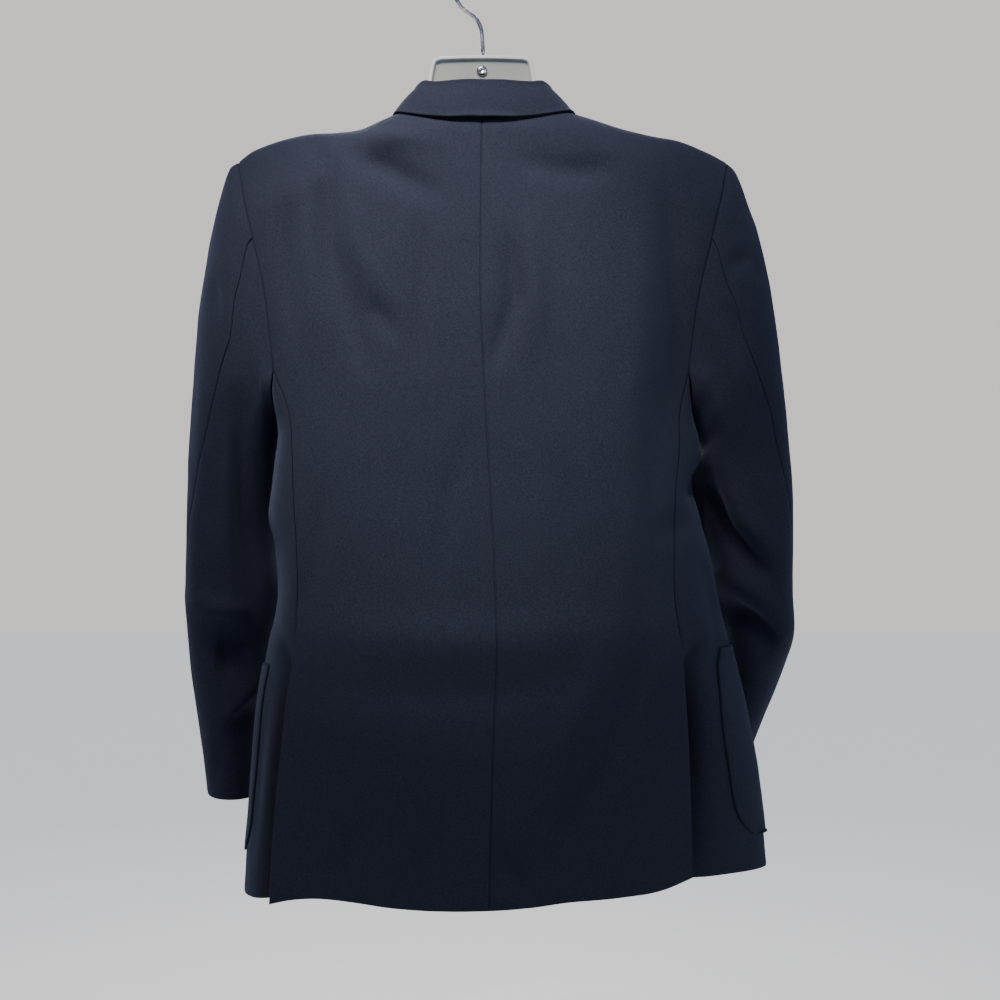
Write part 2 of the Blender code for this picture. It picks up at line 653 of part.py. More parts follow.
def share_normals(*edges):
    """Gives panels that meet at a seam one direction there, so that their walls are cut alike."""
    total = sum(normals[place] for normals, place in edges)
    total = total / np.linalg.norm(total, axis=-1, keepdims=True)
    for normals, place in edges:
        normals[place] = total


def shell(name, outer, normals, wall, colour):
    """A closed wall: a grid of outer points, the same points moved in by the wall, and the rim between. The rim's
    faces are split alike on both sides of a seam, so that two twisted rims don't cross."""
    turned = np.cross(outer[0, 1] - outer[0, 0], outer[1, 0] - outer[0, 0]) @ normals[0, 0]
    if turned < 0:
        outer, normals = outer[:, ::-1], normals[:, ::-1]
    inner = outer - normals * wall
    rows, columns = outer.shape[:2]
    mesh = bmesh.new()
    sheets = [[[mesh.verts.new(p) for p in row] for row in sheet] for sheet in (outer, inner)]
    for sheet, flip in zip(sheets, (True, False)):
        for i in range(rows - 1):
            for j in range(columns - 1):
                corners = [sheet[i][j], sheet[i][j + 1], sheet[i + 1][j + 1], sheet[i + 1][j]]
                mesh.faces.new(corners[::-1] if flip else corners)
    rim = [(0, j) for j in range(columns)]
    rim += [(i, columns - 1) for i in range(1, rows)]
    rim += [(rows - 1, j) for j in range(columns - 2, -1, -1)]
    rim += [(i, 0) for i in range(rows - 2, 0, -1)]
    for pair in zip(rim, rim[1:] + rim[:1]):
        (i, j), (m, n) = sorted(pair)
        mesh.faces.new([sheets[0][i][j], sheets[0][m][n], sheets[1][m][n]])
        mesh.faces.new([sheets[0][i][j], sheets[1][m][n], sheets[1][i][j]])
    bmesh.ops.recalc_face_normals(mesh, faces=mesh.faces)
    return mesh_object(name, mesh, colour)


def material(name):
    made = bpy.data.materials.get(name)
    if made:
        return made
    colour, roughness, metallic = COLOURS[name]
    made = bpy.data.materials.new(name)
    made.use_nodes = True
    shader = made.node_tree.nodes["Principled BSDF"]
    shader.inputs["Base Color"].default_value = (*colour, 1)
    shader.inputs["Roughness"].default_value = roughness
    shader.inputs["Metallic"].default_value = metallic
    return made


def mesh_object(name, mesh, colour):
    data = bpy.data.meshes.new(name)
    mesh.to_mesh(data)
    mesh.free()
    made = bpy.data.objects.new(name, data)
    data.materials.append(material(colour))
    bpy.context.scene.collection.objects.link(made)
    return made


def collar_grid():
    """The collar as one folded strip: up from the neck seam, over the fold and down to its outer edge."""
    half = np.linspace(0, 1, 13)
    return np.array([collar_section(station) for station in np.concatenate([-half[:0:-1], half])])


def collar_section(station):
    side = LEFT if station >= 0 else RIGHT
    at = abs(station)
    wider = 0.0 if side == LEFT else 0.0035 * step_between(0.2, 0.6, at)

    def place(part):
        out, y, down = (float(COLLAR(f"{part}_{axis}", at)) for axis in ("out", "y", "down"))
        return np.array([side * (out + (0 if part == "base" else wider)), y, -down])

    base, fold, edge = place("base"), place("fold"), place("edge")
    if base[1] > 0:
        base[2] = NECK_CLEARANCE - neck_down(base[0])
    run = (edge - base) * [1, 1, 0]
    run /= np.linalg.norm(run)
    radius = COLLAR_FOLD_RADIUS
    up = np.array([0, 0, radius])
    turn = [fold + run * radius * (1 - math.cos(a)) - up * (1 - math.sin(a)) for a in np.linspace(0, math.pi, 5)]
    fall = [turn[-1] + (edge - turn[-1]) * share + run * 0.002 * math.sin(math.pi * share) for share in (0.4, 0.75)]
    clearance = COLLAR_CLEARANCE * (1 + 0.6 * step_between(0.6, 0.8, at))
    fall = push_out(np.array([*fall, edge]), COLLAR_WALL + clearance)
    return np.array([base, (base + turn[0]) / 2, *turn, *fall])


def lapel_grid(side):
    """A lapel, lying on its front from the fold line out to its edge."""
    along = np.linspace(0, 1, 11)[:, None]
    across = np.linspace(0, 1, 6)[None, :]
    fold_down = LAPEL_TOP + (BREAK_DOWN - 0.006 - LAPEL_TOP) * along
    fold_out = side * FRONT_CENTRE - FRONT_EDGE("from_centre", fold_down) + 0.0006
    out = fold_out * (1 - across) + (LAPEL("out", along) + side * FRONT_CENTRE) * across
    down = fold_down * (1 - across) + LAPEL("down", along) * across
    lift = LAPEL_WALL + 0.0006 + 0.0020 * np.sin(np.pi * across) * (1 - along)
    return points(side * out, front_face(side, side * out, down) - lift, down)


def pocket_grid(side):
    """A patch pocket round the side seam, on the panels' own columns and moved out by its wall."""
    over_side = side_grid(side)
    over_front = front_grid(side)[ARMHOLE_ROWS:, ::-1]
    skirt = np.concatenate([over_side, over_front[:, 1:]], axis=1)
    heights = -skirt[:, SIDE_COLUMNS - 1, 2]
    inner = POCKET_FIRST[side] + np.arange(POCKET_COLUMNS)
    rows = []
    for share in (0, 0.1, 0.2, 0.4, 0.6, 0.78, 0.87, 0.93, 0.975, 1):
        down = POCKET_TOP[side] + (POCKET_BOTTOM[side] - POCKET_TOP[side]) * share
        row = np.interp(down, heights, np.arange(len(heights)))
        low = min(int(row), len(heights) - 2)
        section = skirt[low] + (skirt[low + 1] - skirt[low]) * (row - low)
        steps = np.linalg.norm(np.diff(section, axis=0), axis=1)
        along = np.concatenate([[0], np.cumsum(steps)])
        into_corner = max(0.0, down - (POCKET_BOTTOM[side] - POCKET_CORNER))
        cut = POCKET_CORNER - math.sqrt(max(POCKET_CORNER**2 - into_corner**2, 0))
        rear = POCKET_REAR[side] + POCKET_LEAN[side] * math.sqrt(share)
        start, end = rear + cut, rear + POCKET_WIDTH - cut
        order = np.arange(1, POCKET_COLUMNS + 1) * POCKET_LEAST_STEP
        between = np.clip(along[inner], start + order, end - order[::-1])
        places = [start, *between, end]
        rows.append([[np.interp(place, along, section[:, axis]) for axis in range(3)] for place in places])
    grid = np.array(rows)
    return grid + pocket_normals(side, grid) * (POCKET_WALL + POCKET_LIFT[side])


def pocket_normals(side, grid):
    """The pocket bends round the side seam, so its two parts' normals are found alone and shared there."""
    seam = SIDE_COLUMNS - POCKET_FIRST[side]
    rear = outward(grid[:, : seam + 1], (side, 0, 0))
    fore = outward(grid[:, seam:], (0, -1, 0))
    share_normals((rear, np.s_[:, -1]), (fore, np.s_[:, 0]))
    return np.concatenate([rear, fore[:, 1:]], axis=1)


def revolve(name, profile, segments, colour):
    """A solid turned about +Z from (radius, height) pairs that start and end on the axis."""
    mesh = bmesh.new()
    rings = []
    for radius, height in profile:
        if radius == 0:
            rings.append([mesh.verts.new((0, 0, height))] * segments)
            continue
        turns = [2 * math.pi * k / segments for k in range(segments)]
        rings.append([mesh.verts.new((radius * math.cos(a), radius * math.sin(a), height)) for a in turns])
    for low, high in zip(rings, rings[1:]):
        for k in range(segments):
            corners = [low[k], low[(k + 1) % segments], high[(k + 1) % segments], high[k]]
            mesh.faces.new(list(dict.fromkeys(corners)))
    bmesh.ops.recalc_face_normals(mesh, faces=mesh.faces)
    return mesh_object(name, mesh, colour)


def make_button(name, down):
    """A plain domed button on the left front, its axis along the cloth's own normal."""
    rim = BUTTON_RADIUS
    profile = (
        (0, 0),
        (rim * 0.86, 0),
        (rim, BUTTON_HEIGHT * 0.30),
        (rim * 0.97, BUTTON_HEIGHT * 0.55),
        (rim * 0.80, BUTTON_HEIGHT * 0.80),
        (rim * 0.45, BUTTON_HEIGHT * 0.97),
        (0, BUTTON_HEIGHT),
    )
    button = revolve(name, profile, 20, "brass")
    x = FRONT_CENTRE
    step = 0.004
    here, there = [float(front_face(LEFT, x, down + move)) for move in (-step, step)]
    y = (here + there) / 2
    tilt = math.atan2(there - here, 2 * step)
    button.rotation_euler = (math.pi / 2 - tilt, 0, 0)
    button.location = Vector((x, y, -down)) + button.rotation_euler.to_matrix() @ Vector((0, 0, 0.0010))
    return button


def arm_top(side, out):
    """How far down the top of an arm is, so that its flat top just clears the walls that meet above it."""
    over = float(ridge(side * out))
    first_drop = (ARMHOLE_END - over) / ARMHOLE_ROWS**1.8
    reach = min(abs(float(face(side * out, over + first_drop))) for face in (back_y, front_y))
    return over + first_drop * (PLATE_THICK / 2 + WALL) / reach + WALL + SEAM_GAP


def hanger_outline(side):
    """One half of the hanger's outline, from the top of the plate to the middle of its underside."""
    top = [(0.0, PLATE_TOP), (0.020, PLATE_TOP + 0.0002), *PLATE_SIDE]
    outs = np.linspace(0.080, ARM_TIP - 0.006, 8)
    arm = [(0.0605, 0.1460), (0.0680, 0.1530)] + [(out, arm_top(side, out) + 0.0002) for out in outs]
    tip = [(ARM_TIP, arm[-1][1] + 0.009), (ARM_TIP, arm[-1][1] + 0.020), (ARM_TIP - 0.008, arm[-1][1] + 0.028)]
    under = []
    for out in np.linspace(ARM_TIP - 0.030, 0.060, 7):
        under.append((out, arm_top(side, max(out, 0.080)) + ARM_DEPTH))
    middle = [(0.035, 0.1860), (0.0, 0.1830)]
    return [(side * out, down) for out, down in top + arm + tip + under + middle]


def make_hanger():
    """The plate and its two arms, moulded in one with a raised rim round a recessed web."""
    left = hanger_outline(LEFT)
    right = hanger_outline(RIGHT)
    outline = left + right[-2:0:-1]
    mesh = bmesh.new()
    half = PLATE_THICK / 2
    front_ring = [mesh.verts.new((x, -half, -down)) for x, down in outline]
    face = mesh.faces.new(front_ring)
    made = bmesh.ops.extrude_face_region(mesh, geom=[face])
    moved = [v for v in made["geom"] if isinstance(v, bmesh.types.BMVert)]
    bmesh.ops.translate(mesh, verts=moved, vec=(0, PLATE_THICK, 0))
    bmesh.ops.recalc_face_normals(mesh, faces=mesh.faces)
    flats = [f for f in mesh.faces if abs(f.normal.y) > 0.9 and len(f.verts) > 4]
    for flat in flats:
        bmesh.ops.inset_region(mesh, faces=[flat], thickness=RIM, use_even_offset=True)
        inward = -flat.normal * WEB_RECESS
        pressed = bmesh.ops.extrude_face_region(mesh, geom=[flat])
        verts = [v for v in pressed["geom"] if isinstance(v, bmesh.types.BMVert)]
        bmesh.ops.translate(mesh, verts=verts, vec=inward)
        bmesh.ops.delete(mesh, geom=[flat], context="FACES_ONLY")
    bmesh.ops.triangulate(mesh, faces=[f for f in mesh.faces if len(f.verts) > 4])
    bmesh.ops.recalc_face_normals(mesh, faces=mesh.faces)
    return mesh_object("hanger", mesh, "plastic")


def hook_path():
    """The wire's centre line with its radius: a thin shank, a bend outwards and the open loop."""
    centre = Vector((0, 0, -(LOOP_RADIUS - WIRE_RADIUS)))
    path = [
        (Vector((-0.0010, 0, -(PLATE_TOP - 0.0006))), 0.0013),
        (Vector((-0.0010, 0, -0.0885)), 0.0014),
        (Vector((-0.0009, 0, -0.0870)), WIRE_RADIUS),
        (Vector((-0.0003, 0, -0.0760)), WIRE_RADIUS),
        (Vector((0.0006, 0, -0.0660)), WIRE_RADIUS),
        (Vector((0.0032, 0, -0.0585)), WIRE_RADIUS),
        (Vector((0.0068, 0, -0.0535)), WIRE_RADIUS),
    ]
    for degrees in range(-64, 206, 15):
        turn = math.radians(degrees)
        path.append((centre + LOOP_RADIUS * Vector((math.cos(turn), 0, math.sin(turn))), WIRE_RADIUS))
    return path


def make_hook():
    """A round wire swept along the hook's path, closed at both ends."""
    path = hook_path()
    mesh = bmesh.new()
    sides = 8
    rings = []
    for k, (place, radius) in enumerate(path):
        before = path[max(k - 1, 0)][0]
        after = path[min(k + 1, len(path) - 1)][0]
        along = (after - before).normalized()
        across = Vector((0, 1, 0))
        up = along.cross(across)
        turns = [2 * math.pi * s / sides for s in range(sides)]
        rings.append([mesh.verts.new(place + radius * (math.cos(a) * across + math.sin(a) * up)) for a in turns])
    for low, high in zip(rings, rings[1:]):
        for s in range(sides):
            mesh.faces.new([low[s], low[(s + 1) % sides], high[(s + 1) % sides], high[s]])
    mesh.faces.new(rings[0])
    mesh.faces.new(rings[-1])
    bmesh.ops.recalc_face_normals(mesh, faces=mesh.faces)
    return mesh_object("hanger_hook", mesh, "steel")


def make_rivet():
    """The rivet's domed head, seated on the plate's recessed web."""
    rivet = revolve("hanger_rivet", ((0, 0), (0.0052, 0), (0.0050, 0.0012), (0.0030, 0.0024), (0, 0.0028)), 16, "steel")
    rivet.rotation_euler = (-math.pi / 2, 0, 0)
    rivet.location = (0, PLATE_THICK / 2 - WEB_RECESS + SEAM_GAP, -RIVET_DOWN)
    return rivet


def meet_armhole(loop_parts, under, top):
    """Cuts the sleeve's and the body's walls alike round the armhole, but for under the arm, where they turn apart."""
    for index, sources in loop_parts:
        for normals, shift in ((under, HIND_SEAM), (top, FORE_SEAM)):
            column = (index - shift) % ARMHOLE_POINTS
            if column < normals.shape[1]:
                share_normals(*sources, (normals, (0, column)))


def make_side(side, back, back_normals):
    """The panels, the sleeve, the lapel and the pocket of one side."""
    name = side_name(side)
    front, middle = front_grid(side), side_grid(side)
    front_normals = outward(front, (0, -1, 0))
    middle_normals = outward(middle, (side, 0, 0))
    loop = armhole_loop(side, back, front, middle)
    (under, under_normals), (top, top_normals) = sleeve_grids(side, loop)
    for normals in (back_normals, front_normals):
        normals[0, :, 1] = 0
        normals[0] /= np.linalg.norm(normals[0], axis=1, keepdims=True)
    sewn = int((middle[:, 0, 2] > -VENT_TOP + 0.03).sum())
    share_normals(
        (back_normals, np.s_[ARMHOLE_ROWS : ARMHOLE_ROWS + sewn, -1]),
        (middle_normals, np.s_[:sewn, 0]),
    )
    share_normals((front_normals, np.s_[ARMHOLE_ROWS:, -1]), (middle_normals, np.s_[:, -1]))
    loop_parts = [(0, [(back_normals, (0, -1)), (front_normals, (0, -1))])]
    for row in range(1, ARMHOLE_ROWS):
        loop_parts.append((row, [(back_normals, (row, -1))]))
        loop_parts.append((ARMHOLE_POINTS - row, [(front_normals, (row, -1))]))
    meet_armhole(loop_parts, under_normals, top_normals)
    shell(f"back_{name}", eased(back), back_normals, WALL, "cloth")
    shell(f"front_{name}", eased(front), front_normals, WALL, "cloth")
    shell(f"side_{name}", eased(middle), middle_normals, WALL, "cloth")
    shell(f"sleeve_{name}_under", eased(under), under_normals, WALL, "cloth")
    shell(f"sleeve_{name}_top", eased(top), top_normals, WALL, "cloth")
    lapel = lapel_grid(side)
    shell(f"lapel_{name}", lapel, outward(lapel, (0, -1, 0)), LAPEL_WALL, "cloth")
    pocket = pocket_grid(side)
    shell(f"pocket_{name}", pocket, pocket_normals(side, pocket), POCKET_WALL, "cloth")


def make_garment():
    left, right = back_grid(LEFT), back_grid(RIGHT)
    left_normals, right_normals = outward(left, (0, 1, 0)), outward(right, (0, 1, 0))
    share_normals((left_normals, np.s_[:, 0]), (right_normals, np.s_[:, 0]))
    make_side(LEFT, left, left_normals)
    make_side(RIGHT, right, right_normals)
    collar = collar_grid()
    shell("collar", collar, collar_normals(collar), COLLAR_WALL, "cloth")


def collar_normals(grid):
    """The collar's outer face looks up over its fold."""
    normals = outward(grid, (0, 0, 1))
    return normals * math.copysign(1, normals[len(grid) // 2, 4, 2])


def clear_scene():
    for thing in list(bpy.data.objects):
        bpy.data.objects.remove(thing, do_unlink=True)


def main():
    clear_scene()
    make_garment()
    for name, down in BUTTON_DOWNS.items():
        make_button(name, down)
    make_hanger()
    make_hook()
    make_rivet()


main()
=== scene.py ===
# %% [markdown]
# # A navy blazer on a hanger
# This file dresses the packed model of a tailored jacket on a moulded hanger, which is seen from behind.
# The packed solids are coarse walls of cloth. Each one is made again here as a fine sheet on the same form,
# with its creases, pressed seams and weave. The metal and the plastic get their own finishes.
# In this frame +Z is up, the jacket's back looks towards +Y and the wearer's left is +X. The origin is under
# the top of the hook. `down` is the distance below it, and `out` is the distance from the plane X = 0.

# %% Load the frame and keep its size
import json
import math

import bmesh
import bpy
import numpy as np
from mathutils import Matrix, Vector, noise

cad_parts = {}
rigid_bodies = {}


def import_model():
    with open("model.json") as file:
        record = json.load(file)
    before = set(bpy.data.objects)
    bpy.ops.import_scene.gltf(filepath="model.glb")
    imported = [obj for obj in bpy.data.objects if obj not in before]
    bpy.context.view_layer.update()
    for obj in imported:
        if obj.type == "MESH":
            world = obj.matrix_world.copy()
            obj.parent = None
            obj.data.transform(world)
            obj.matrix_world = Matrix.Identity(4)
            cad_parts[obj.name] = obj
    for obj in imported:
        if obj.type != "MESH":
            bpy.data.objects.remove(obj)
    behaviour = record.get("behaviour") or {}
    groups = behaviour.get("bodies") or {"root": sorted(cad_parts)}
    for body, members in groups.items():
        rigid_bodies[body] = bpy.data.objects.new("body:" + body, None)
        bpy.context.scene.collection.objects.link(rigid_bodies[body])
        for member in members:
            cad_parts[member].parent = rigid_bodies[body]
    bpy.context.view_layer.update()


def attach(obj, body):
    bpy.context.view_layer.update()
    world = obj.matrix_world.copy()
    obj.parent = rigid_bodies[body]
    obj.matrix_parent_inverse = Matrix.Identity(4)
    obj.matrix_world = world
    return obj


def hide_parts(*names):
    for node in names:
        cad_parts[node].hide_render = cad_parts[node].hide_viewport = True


for startup in list(bpy.data.objects):
    bpy.data.objects.remove(startup)
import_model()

# %% [markdown]
# ## Smooth tables
# A pattern cutter notes a jacket as a few measures, taken at a few heights. A small table class does the
# same: each row is one height, each column is one measure, and a smooth curve joins the rows. It keeps the
# numbers few and readable, where a list of points would hide what they mean.

# %% Tables that are read between their rows
def smooth(keys, values, at):
    """A smooth curve through the values, level beyond its ends."""
    slopes = np.gradient(values, keys)
    at = np.clip(at, keys[0], keys[-1])
    low = np.clip(np.searchsorted(keys, at) - 1, 0, len(keys) - 2)
    width = keys[low + 1] - keys[low]
    t = (at - keys[low]) / width
    start = values[low] * (1 + 2 * t) + slopes[low] * width * t
    end = values[low + 1] * (3 - 2 * t) - slopes[low + 1] * width * (1 - t)
    return start * (1 - t) ** 2 + end * t**2


class Table:
    """Rows of numbers with named columns. table("name", at) reads a column between its rows."""

    def __init__(self, names, *rows):
        self.names = names.split()
        self.columns = dict(zip(self.names, np.array(rows, float).T))
        self.keys = self.columns[self.names[0]]

    def __call__(self, name, at):
        return smooth(self.keys, self.columns[name], np.asarray(at, float))


def step_between(low, high, at):
    """0 below low, 1 above high, and smooth between."""
    t = np.clip((at - low) / (high - low), 0, 1)
    return t * t * (3 - 2 * t)


print("halfway between 0 and 1:", float(step_between(0, 1, 0.5)))

# %% [markdown]
# ## The jacket's measures
# These are the solids' own measures, so the fine cloth lies where they are. A few differ, as the photograph
# does: the vents are sunk deeper, the collar stands a little higher and the sleeves' hind seams are turned
# on the arm. The rows and columns are mostly 4 to 7 mm apart, which is fine enough for soft creases.

# %% Sizes, in metres
MM = 0.001
LEFT, RIGHT = 1, -1
TURN = 2 * math.pi
WALL = 0.0020
SEAM_GAP = 0.0003
NECK_OUT = 0.0755
SHOULDER_OUT = 0.2385
SHOULDER_DOWN = 0.195
NECK_DIP = 0.012
ARMHOLE_END = 0.404
UNDERARM_DIP = 0.034
RIGHT_ARMHOLE_SHIFT = 0.0020
SIDE_SLOPE_BACK = 0.45
SIDE_SLOPE_FRONT = 0.25
PANEL_POWER = 3.0
VENT_TOP = 0.655
VENT_LAP = 0.016
SIDE_HEM_RISE = {LEFT: (0.006, 6.0), RIGHT: (-0.004, 1.5)}
OVERLAP_LIFT = 0.0070
FRONT_CENTRE = -0.004
BREAK_DOWN = 0.560
ARMHOLE_ROWS = 40
LOWER_ROWS = 78
BACK_COLUMNS = 56
FRONT_COLUMNS = 51
SIDE_COLUMNS = 31
RINGS_A_ROW = 7
HIND_SEAM = 24
ARMHOLE_POINTS = 2 * ARMHOLE_ROWS + SIDE_COLUMNS - 1
FORE_SEAM = ARMHOLE_POINTS - HIND_SEAM
HEM_HEIGHT = 0.900
BACK_HEM_SIDE = 0.905
BACK_HEM_CENTRE = 0.906
FRONT_HEM = 0.9050
SIDE_HEM = {LEFT: 0.9250, RIGHT: 0.9055}
SIDE_HEM_OUT = 0.2
print("shoulder width:", 2 * SHOULDER_OUT, "m")

# %% The shoulders, the armholes and the seams
SHOULDER = Table(
    "out left right",
    (0.000, 0.1480, 0.1480),
    (0.040, 0.1478, 0.1476),
    (0.065, 0.1474, 0.1466),
    (0.080, 0.1492, 0.1476),
    (0.095, 0.1550, 0.1516),
    (0.118, 0.1648, 0.1584),
    (0.140, 0.1675, 0.1648),
    (0.165, 0.1684, 0.1703),
    (0.190, 0.1728, 0.1746),
    (0.212, 0.1796, 0.1827),
    (0.226, 0.1857, 0.1886),
    (0.2405, 0.1965, 0.1965),
)
ARMHOLE = Table(
    "down back front",
    (0.195, 0.2385, 0.2385),
    (0.203, 0.2361, 0.2345),
    (0.227, 0.2301, 0.2230),
    (0.254, 0.2227, 0.2110),
    (0.278, 0.2165, 0.2020),
    (0.304, 0.2099, 0.1945),
    (0.328, 0.2046, 0.1890),
    (0.357, 0.2004, 0.1860),
    (0.385, 0.1976, 0.1855),
    (0.404, 0.1957, 0.1865),
)
CENTRE = Table(
    "down x",
    (0.158, -0.0006),
    (0.246, 0.0001),
    (0.345, -0.0001),
    (0.390, -0.0020),
    (0.446, -0.0048),
    (0.500, -0.0080),
    (0.560, -0.0114),
    (0.627, -0.0140),
    (0.668, -0.0149),
    (0.715, -0.0129),
    (0.770, -0.0110),
    (0.910, -0.0074),
)
SECTION = Table(
    "down left_back right_back left_side right_side left_front right_front",
    (0.404, 0.1957, 0.1977, 0.1980, 0.2010, 0.1865, 0.1885),
    (0.446, 0.1800, 0.1890, 0.2000, 0.2120, 0.1845, 0.1880),
    (0.475, 0.1775, 0.1885, 0.2030, 0.2160, 0.1840, 0.1900),
    (0.515, 0.1762, 0.1845, 0.2068, 0.2085, 0.1840, 0.1900),
    (0.545, 0.1745, 0.1830, 0.2100, 0.2166, 0.1845, 0.1920),
    (0.580, 0.1725, 0.1822, 0.2035, 0.2262, 0.1850, 0.1960),
    (0.620, 0.1722, 0.1823, 0.2022, 0.2350, 0.1870, 0.2030),
    (0.668, 0.1755, 0.1893, 0.2130, 0.2478, 0.1930, 0.2180),
    (0.715, 0.1830, 0.1942, 0.2222, 0.2608, 0.1985, 0.2310),
    (0.770, 0.1890, 0.1978, 0.2280, 0.2730, 0.2030, 0.2400),
    (0.830, 0.1950, 0.2006, 0.2325, 0.2830, 0.2070, 0.2470),
    (0.930, 0.2015, 0.2030, 0.2404, 0.2940, 0.2120, 0.2540),
)
fall = float(SHOULDER("left", SHOULDER_OUT) - SHOULDER("left", 0.0))
print("the left shoulder falls by", round(fall, 3), "m")

# %% How far the cloth stands off the hanger, and its lower edges
BACK = Table(
    "down centre left right",
    (0.148, 0.0450, 0.0240, 0.0240),
    (0.200, 0.0530, 0.0245, 0.0245),
    (0.246, 0.0600, 0.0370, 0.0370),
    (0.300, 0.0670, 0.0465, 0.0465),
    (0.345, 0.0720, 0.0510, 0.0510),
    (0.404, 0.0765, 0.0500, 0.0500),
    (0.446, 0.0785, 0.0540, 0.0520),
    (0.526, 0.0800, 0.0560, 0.0560),
    (0.620, 0.0810, 0.0560, 0.0560),
    (0.668, 0.0830, 0.0570, 0.0540),
    (0.715, 0.0800, 0.0575, 0.0450),
    (0.770, 0.0750, 0.0565, 0.0400),
    (0.830, 0.0690, 0.0540, 0.0340),
    (0.930, 0.0620, 0.0490, 0.0270),
)
FRONT = Table(
    "down centre left right",
    (0.148, 0.0400, 0.0250, 0.0250),
    (0.200, 0.0550, 0.0300, 0.0300),
    (0.246, 0.0640, 0.0420, 0.0420),
    (0.300, 0.0720, 0.0540, 0.0540),
    (0.345, 0.0780, 0.0600, 0.0600),
    (0.404, 0.0820, 0.0580, 0.0580),
    (0.446, 0.0830, 0.0560, 0.0580),
    (0.526, 0.0800, 0.0560, 0.0600),
    (0.620, 0.0760, 0.0600, 0.0660),
    (0.715, 0.0760, 0.0660, 0.0780),
    (0.830, 0.0790, 0.0700, 0.0850),
    (0.930, 0.0820, 0.0720, 0.0880),
)
BACK_HEM = Table(
    "x down",
    (-0.2030, 0.8880),
    (-0.1720, 0.8957),
    (-0.1300, 0.8992),
    (-0.0800, 0.9016),
    (-0.0450, 0.9060),
    (0.0870, 0.9062),
    (0.1200, 0.9016),
    (0.1563, 0.8992),
    (0.1780, 0.9013),
    (0.2015, 0.9070),
)
FRONT_EDGE = Table(
    "down from_centre",
    (0.1468, -0.0790),
    (0.2150, -0.0590),
    (0.3300, -0.0330),
    (0.4450, -0.0090),
    (0.5600, 0.0140),
    (0.6500, 0.0150),
    (0.7500, 0.0130),
    (0.8000, 0.0070),
    (0.8450, -0.0080),
    (0.8800, -0.0320),
    (0.9050, -0.0680),
)
VENT_SINK = Table(
    "down left right",
    (0.600, 0.0000, 0.0000),
    (0.645, 0.0050, 0.0045),
    (0.700, 0.0060, 0.0080),
    (0.770, 0.0060, 0.0110),
    (0.930, 0.0060, 0.0150),
)
depth = float(BACK("centre", 0.4) + FRONT("centre", 0.4))
print("depth from front to back at the chest:", round(depth, 3), "m")

# %% [markdown]
# ## Creases
# Pressed wool hangs in a few broad, soft folds, not in many sharp ones. Simulating it would give folds, but
# not the ones in the photograph, so they are listed one by one. Each fold is a soft ridge or trough along a
# bent line. A row gives its height (below 0 for a trough), its half width, and how far out and how far down
# its start, middle and end are, all in millimetres. They are uneven on purpose: long and shallow over the
# back, short and deep at the elbows. A side's folds are placed by how far back they are, and not by how far
# out.

# %% Folds of the body
BACK_FOLDS = (
    (4, 9, 125, 178, 85, 184, 42, 190),
    (-8.5, 13, 128, 197, 85, 216, 42, 242),
    (-8.5, 13, 150, 230, 139, 293, 106, 401),
    (4, 12, 130, 230, 115, 290, 90, 340),
    (-5, 10, 108, 343, 93, 356, 76, 374),
    (-5, 10, 183.7, 247.6, 181.5, 300, 176, 370),
    (-6.5, 9, -25, 285, -31, 340.4, -12, 400),
    (4.5, 10, -45, 265, -52, 330, -48, 390),
    (-9.5, 15, -178, 229, -184, 368, -170, 498),
    (-17, 24, -202, 330, -197, 480, -190, 640),
    (4, 14, -145, 270, -148, 370, -138, 460),
    (-5.5, 12, -35, 208, -85, 218, -125, 213),
    (-6, 16, -160, 650, -120, 750, -60, 880),
    (5, 18, -115, 670, -80, 740, -30, 850),
    (-5, 12, 120, 825, 125, 855, 130.9, 885),
    (-4.5, 12, -15, 850, -25, 870, -40.8, 890),
)
BACK_CREASES = (
    (-4.5, 9, 164, 180, 142, 215, 133, 270),
    (3.5, 10, 168, 220, 162, 300, 153, 390),
    (-3, 9, 50, 260, 54, 330, 60, 400),
    (-5, 12, -164, 420, -160, 520, -156, 630),
    (3.5, 14, -140, 530, -134, 600, -125, 660),
    (-3, 10, 150, 520, 154, 570, 160, 620),
    (5, 20, 165, 648, 20, 654, -145, 646),
    (-4, 20, 160, 700, 40, 706, -100, 698),
    (-4, 8, -188, 538, -180, 550, -170, 562),
    (3, 14, 70, 760, 78, 820, 86, 890),
    (-3, 12, 42, 830, 50, 860, 56, 895),
    (-2.5, 10, 10, 460, 30, 530, 35, 600),
    (-2.5, 11, -70, 480, -80, 550, -95, 620),
)
FRONT_FOLDS = (
    (-2.2, 14, 165, 330, 130, 430, 50, 550),
    (-1.8, 12, -165, 340, -125, 450, -45, 560),
    (1.6, 14, 180, 240, 160, 300, 145, 380),
    (-1.6, 12, -175, 230, -150, 300, -135, 390),
    (-1.8, 13, 30, 600, 70, 670, 95, 770),
    (-1.6, 11, -50, 610, -85, 700, -100, 830),
    (1.4, 12, 50, 760, 56, 820, 54, 880),
    (-1.2, 10, -150, 470, -140, 560, -150, 640),
)
SIDE_FOLDS = {
    LEFT: (
        (-2.2, 8, 35, 440, 10, 475, -20, 500),
        (-1.8, 9, 25, 545, -5, 580, -30, 600),
        (3, 6, 42, 690, 34, 760, 28, 830),
        (-2.2, 7, 22, 700, 14, 780, 10, 880),
    ),
    RIGHT: (
        (-4.5, 10, -30, 490, 5, 505, 40, 535),
        (2.5, 12, 40, 450, 20, 460, -10, 470),
        (-2.5, 10, 25, 580, 10, 630, 20, 700),
        (-3, 10, 28, 720, 18, 790, 5, 870),
    ),
}
print("folds on the back:", len(BACK_FOLDS) + len(BACK_CREASES))

# %% Where each fold lifts or presses the cloth
FOLD_END = 0.25
FOLD_TAPER = 0.7


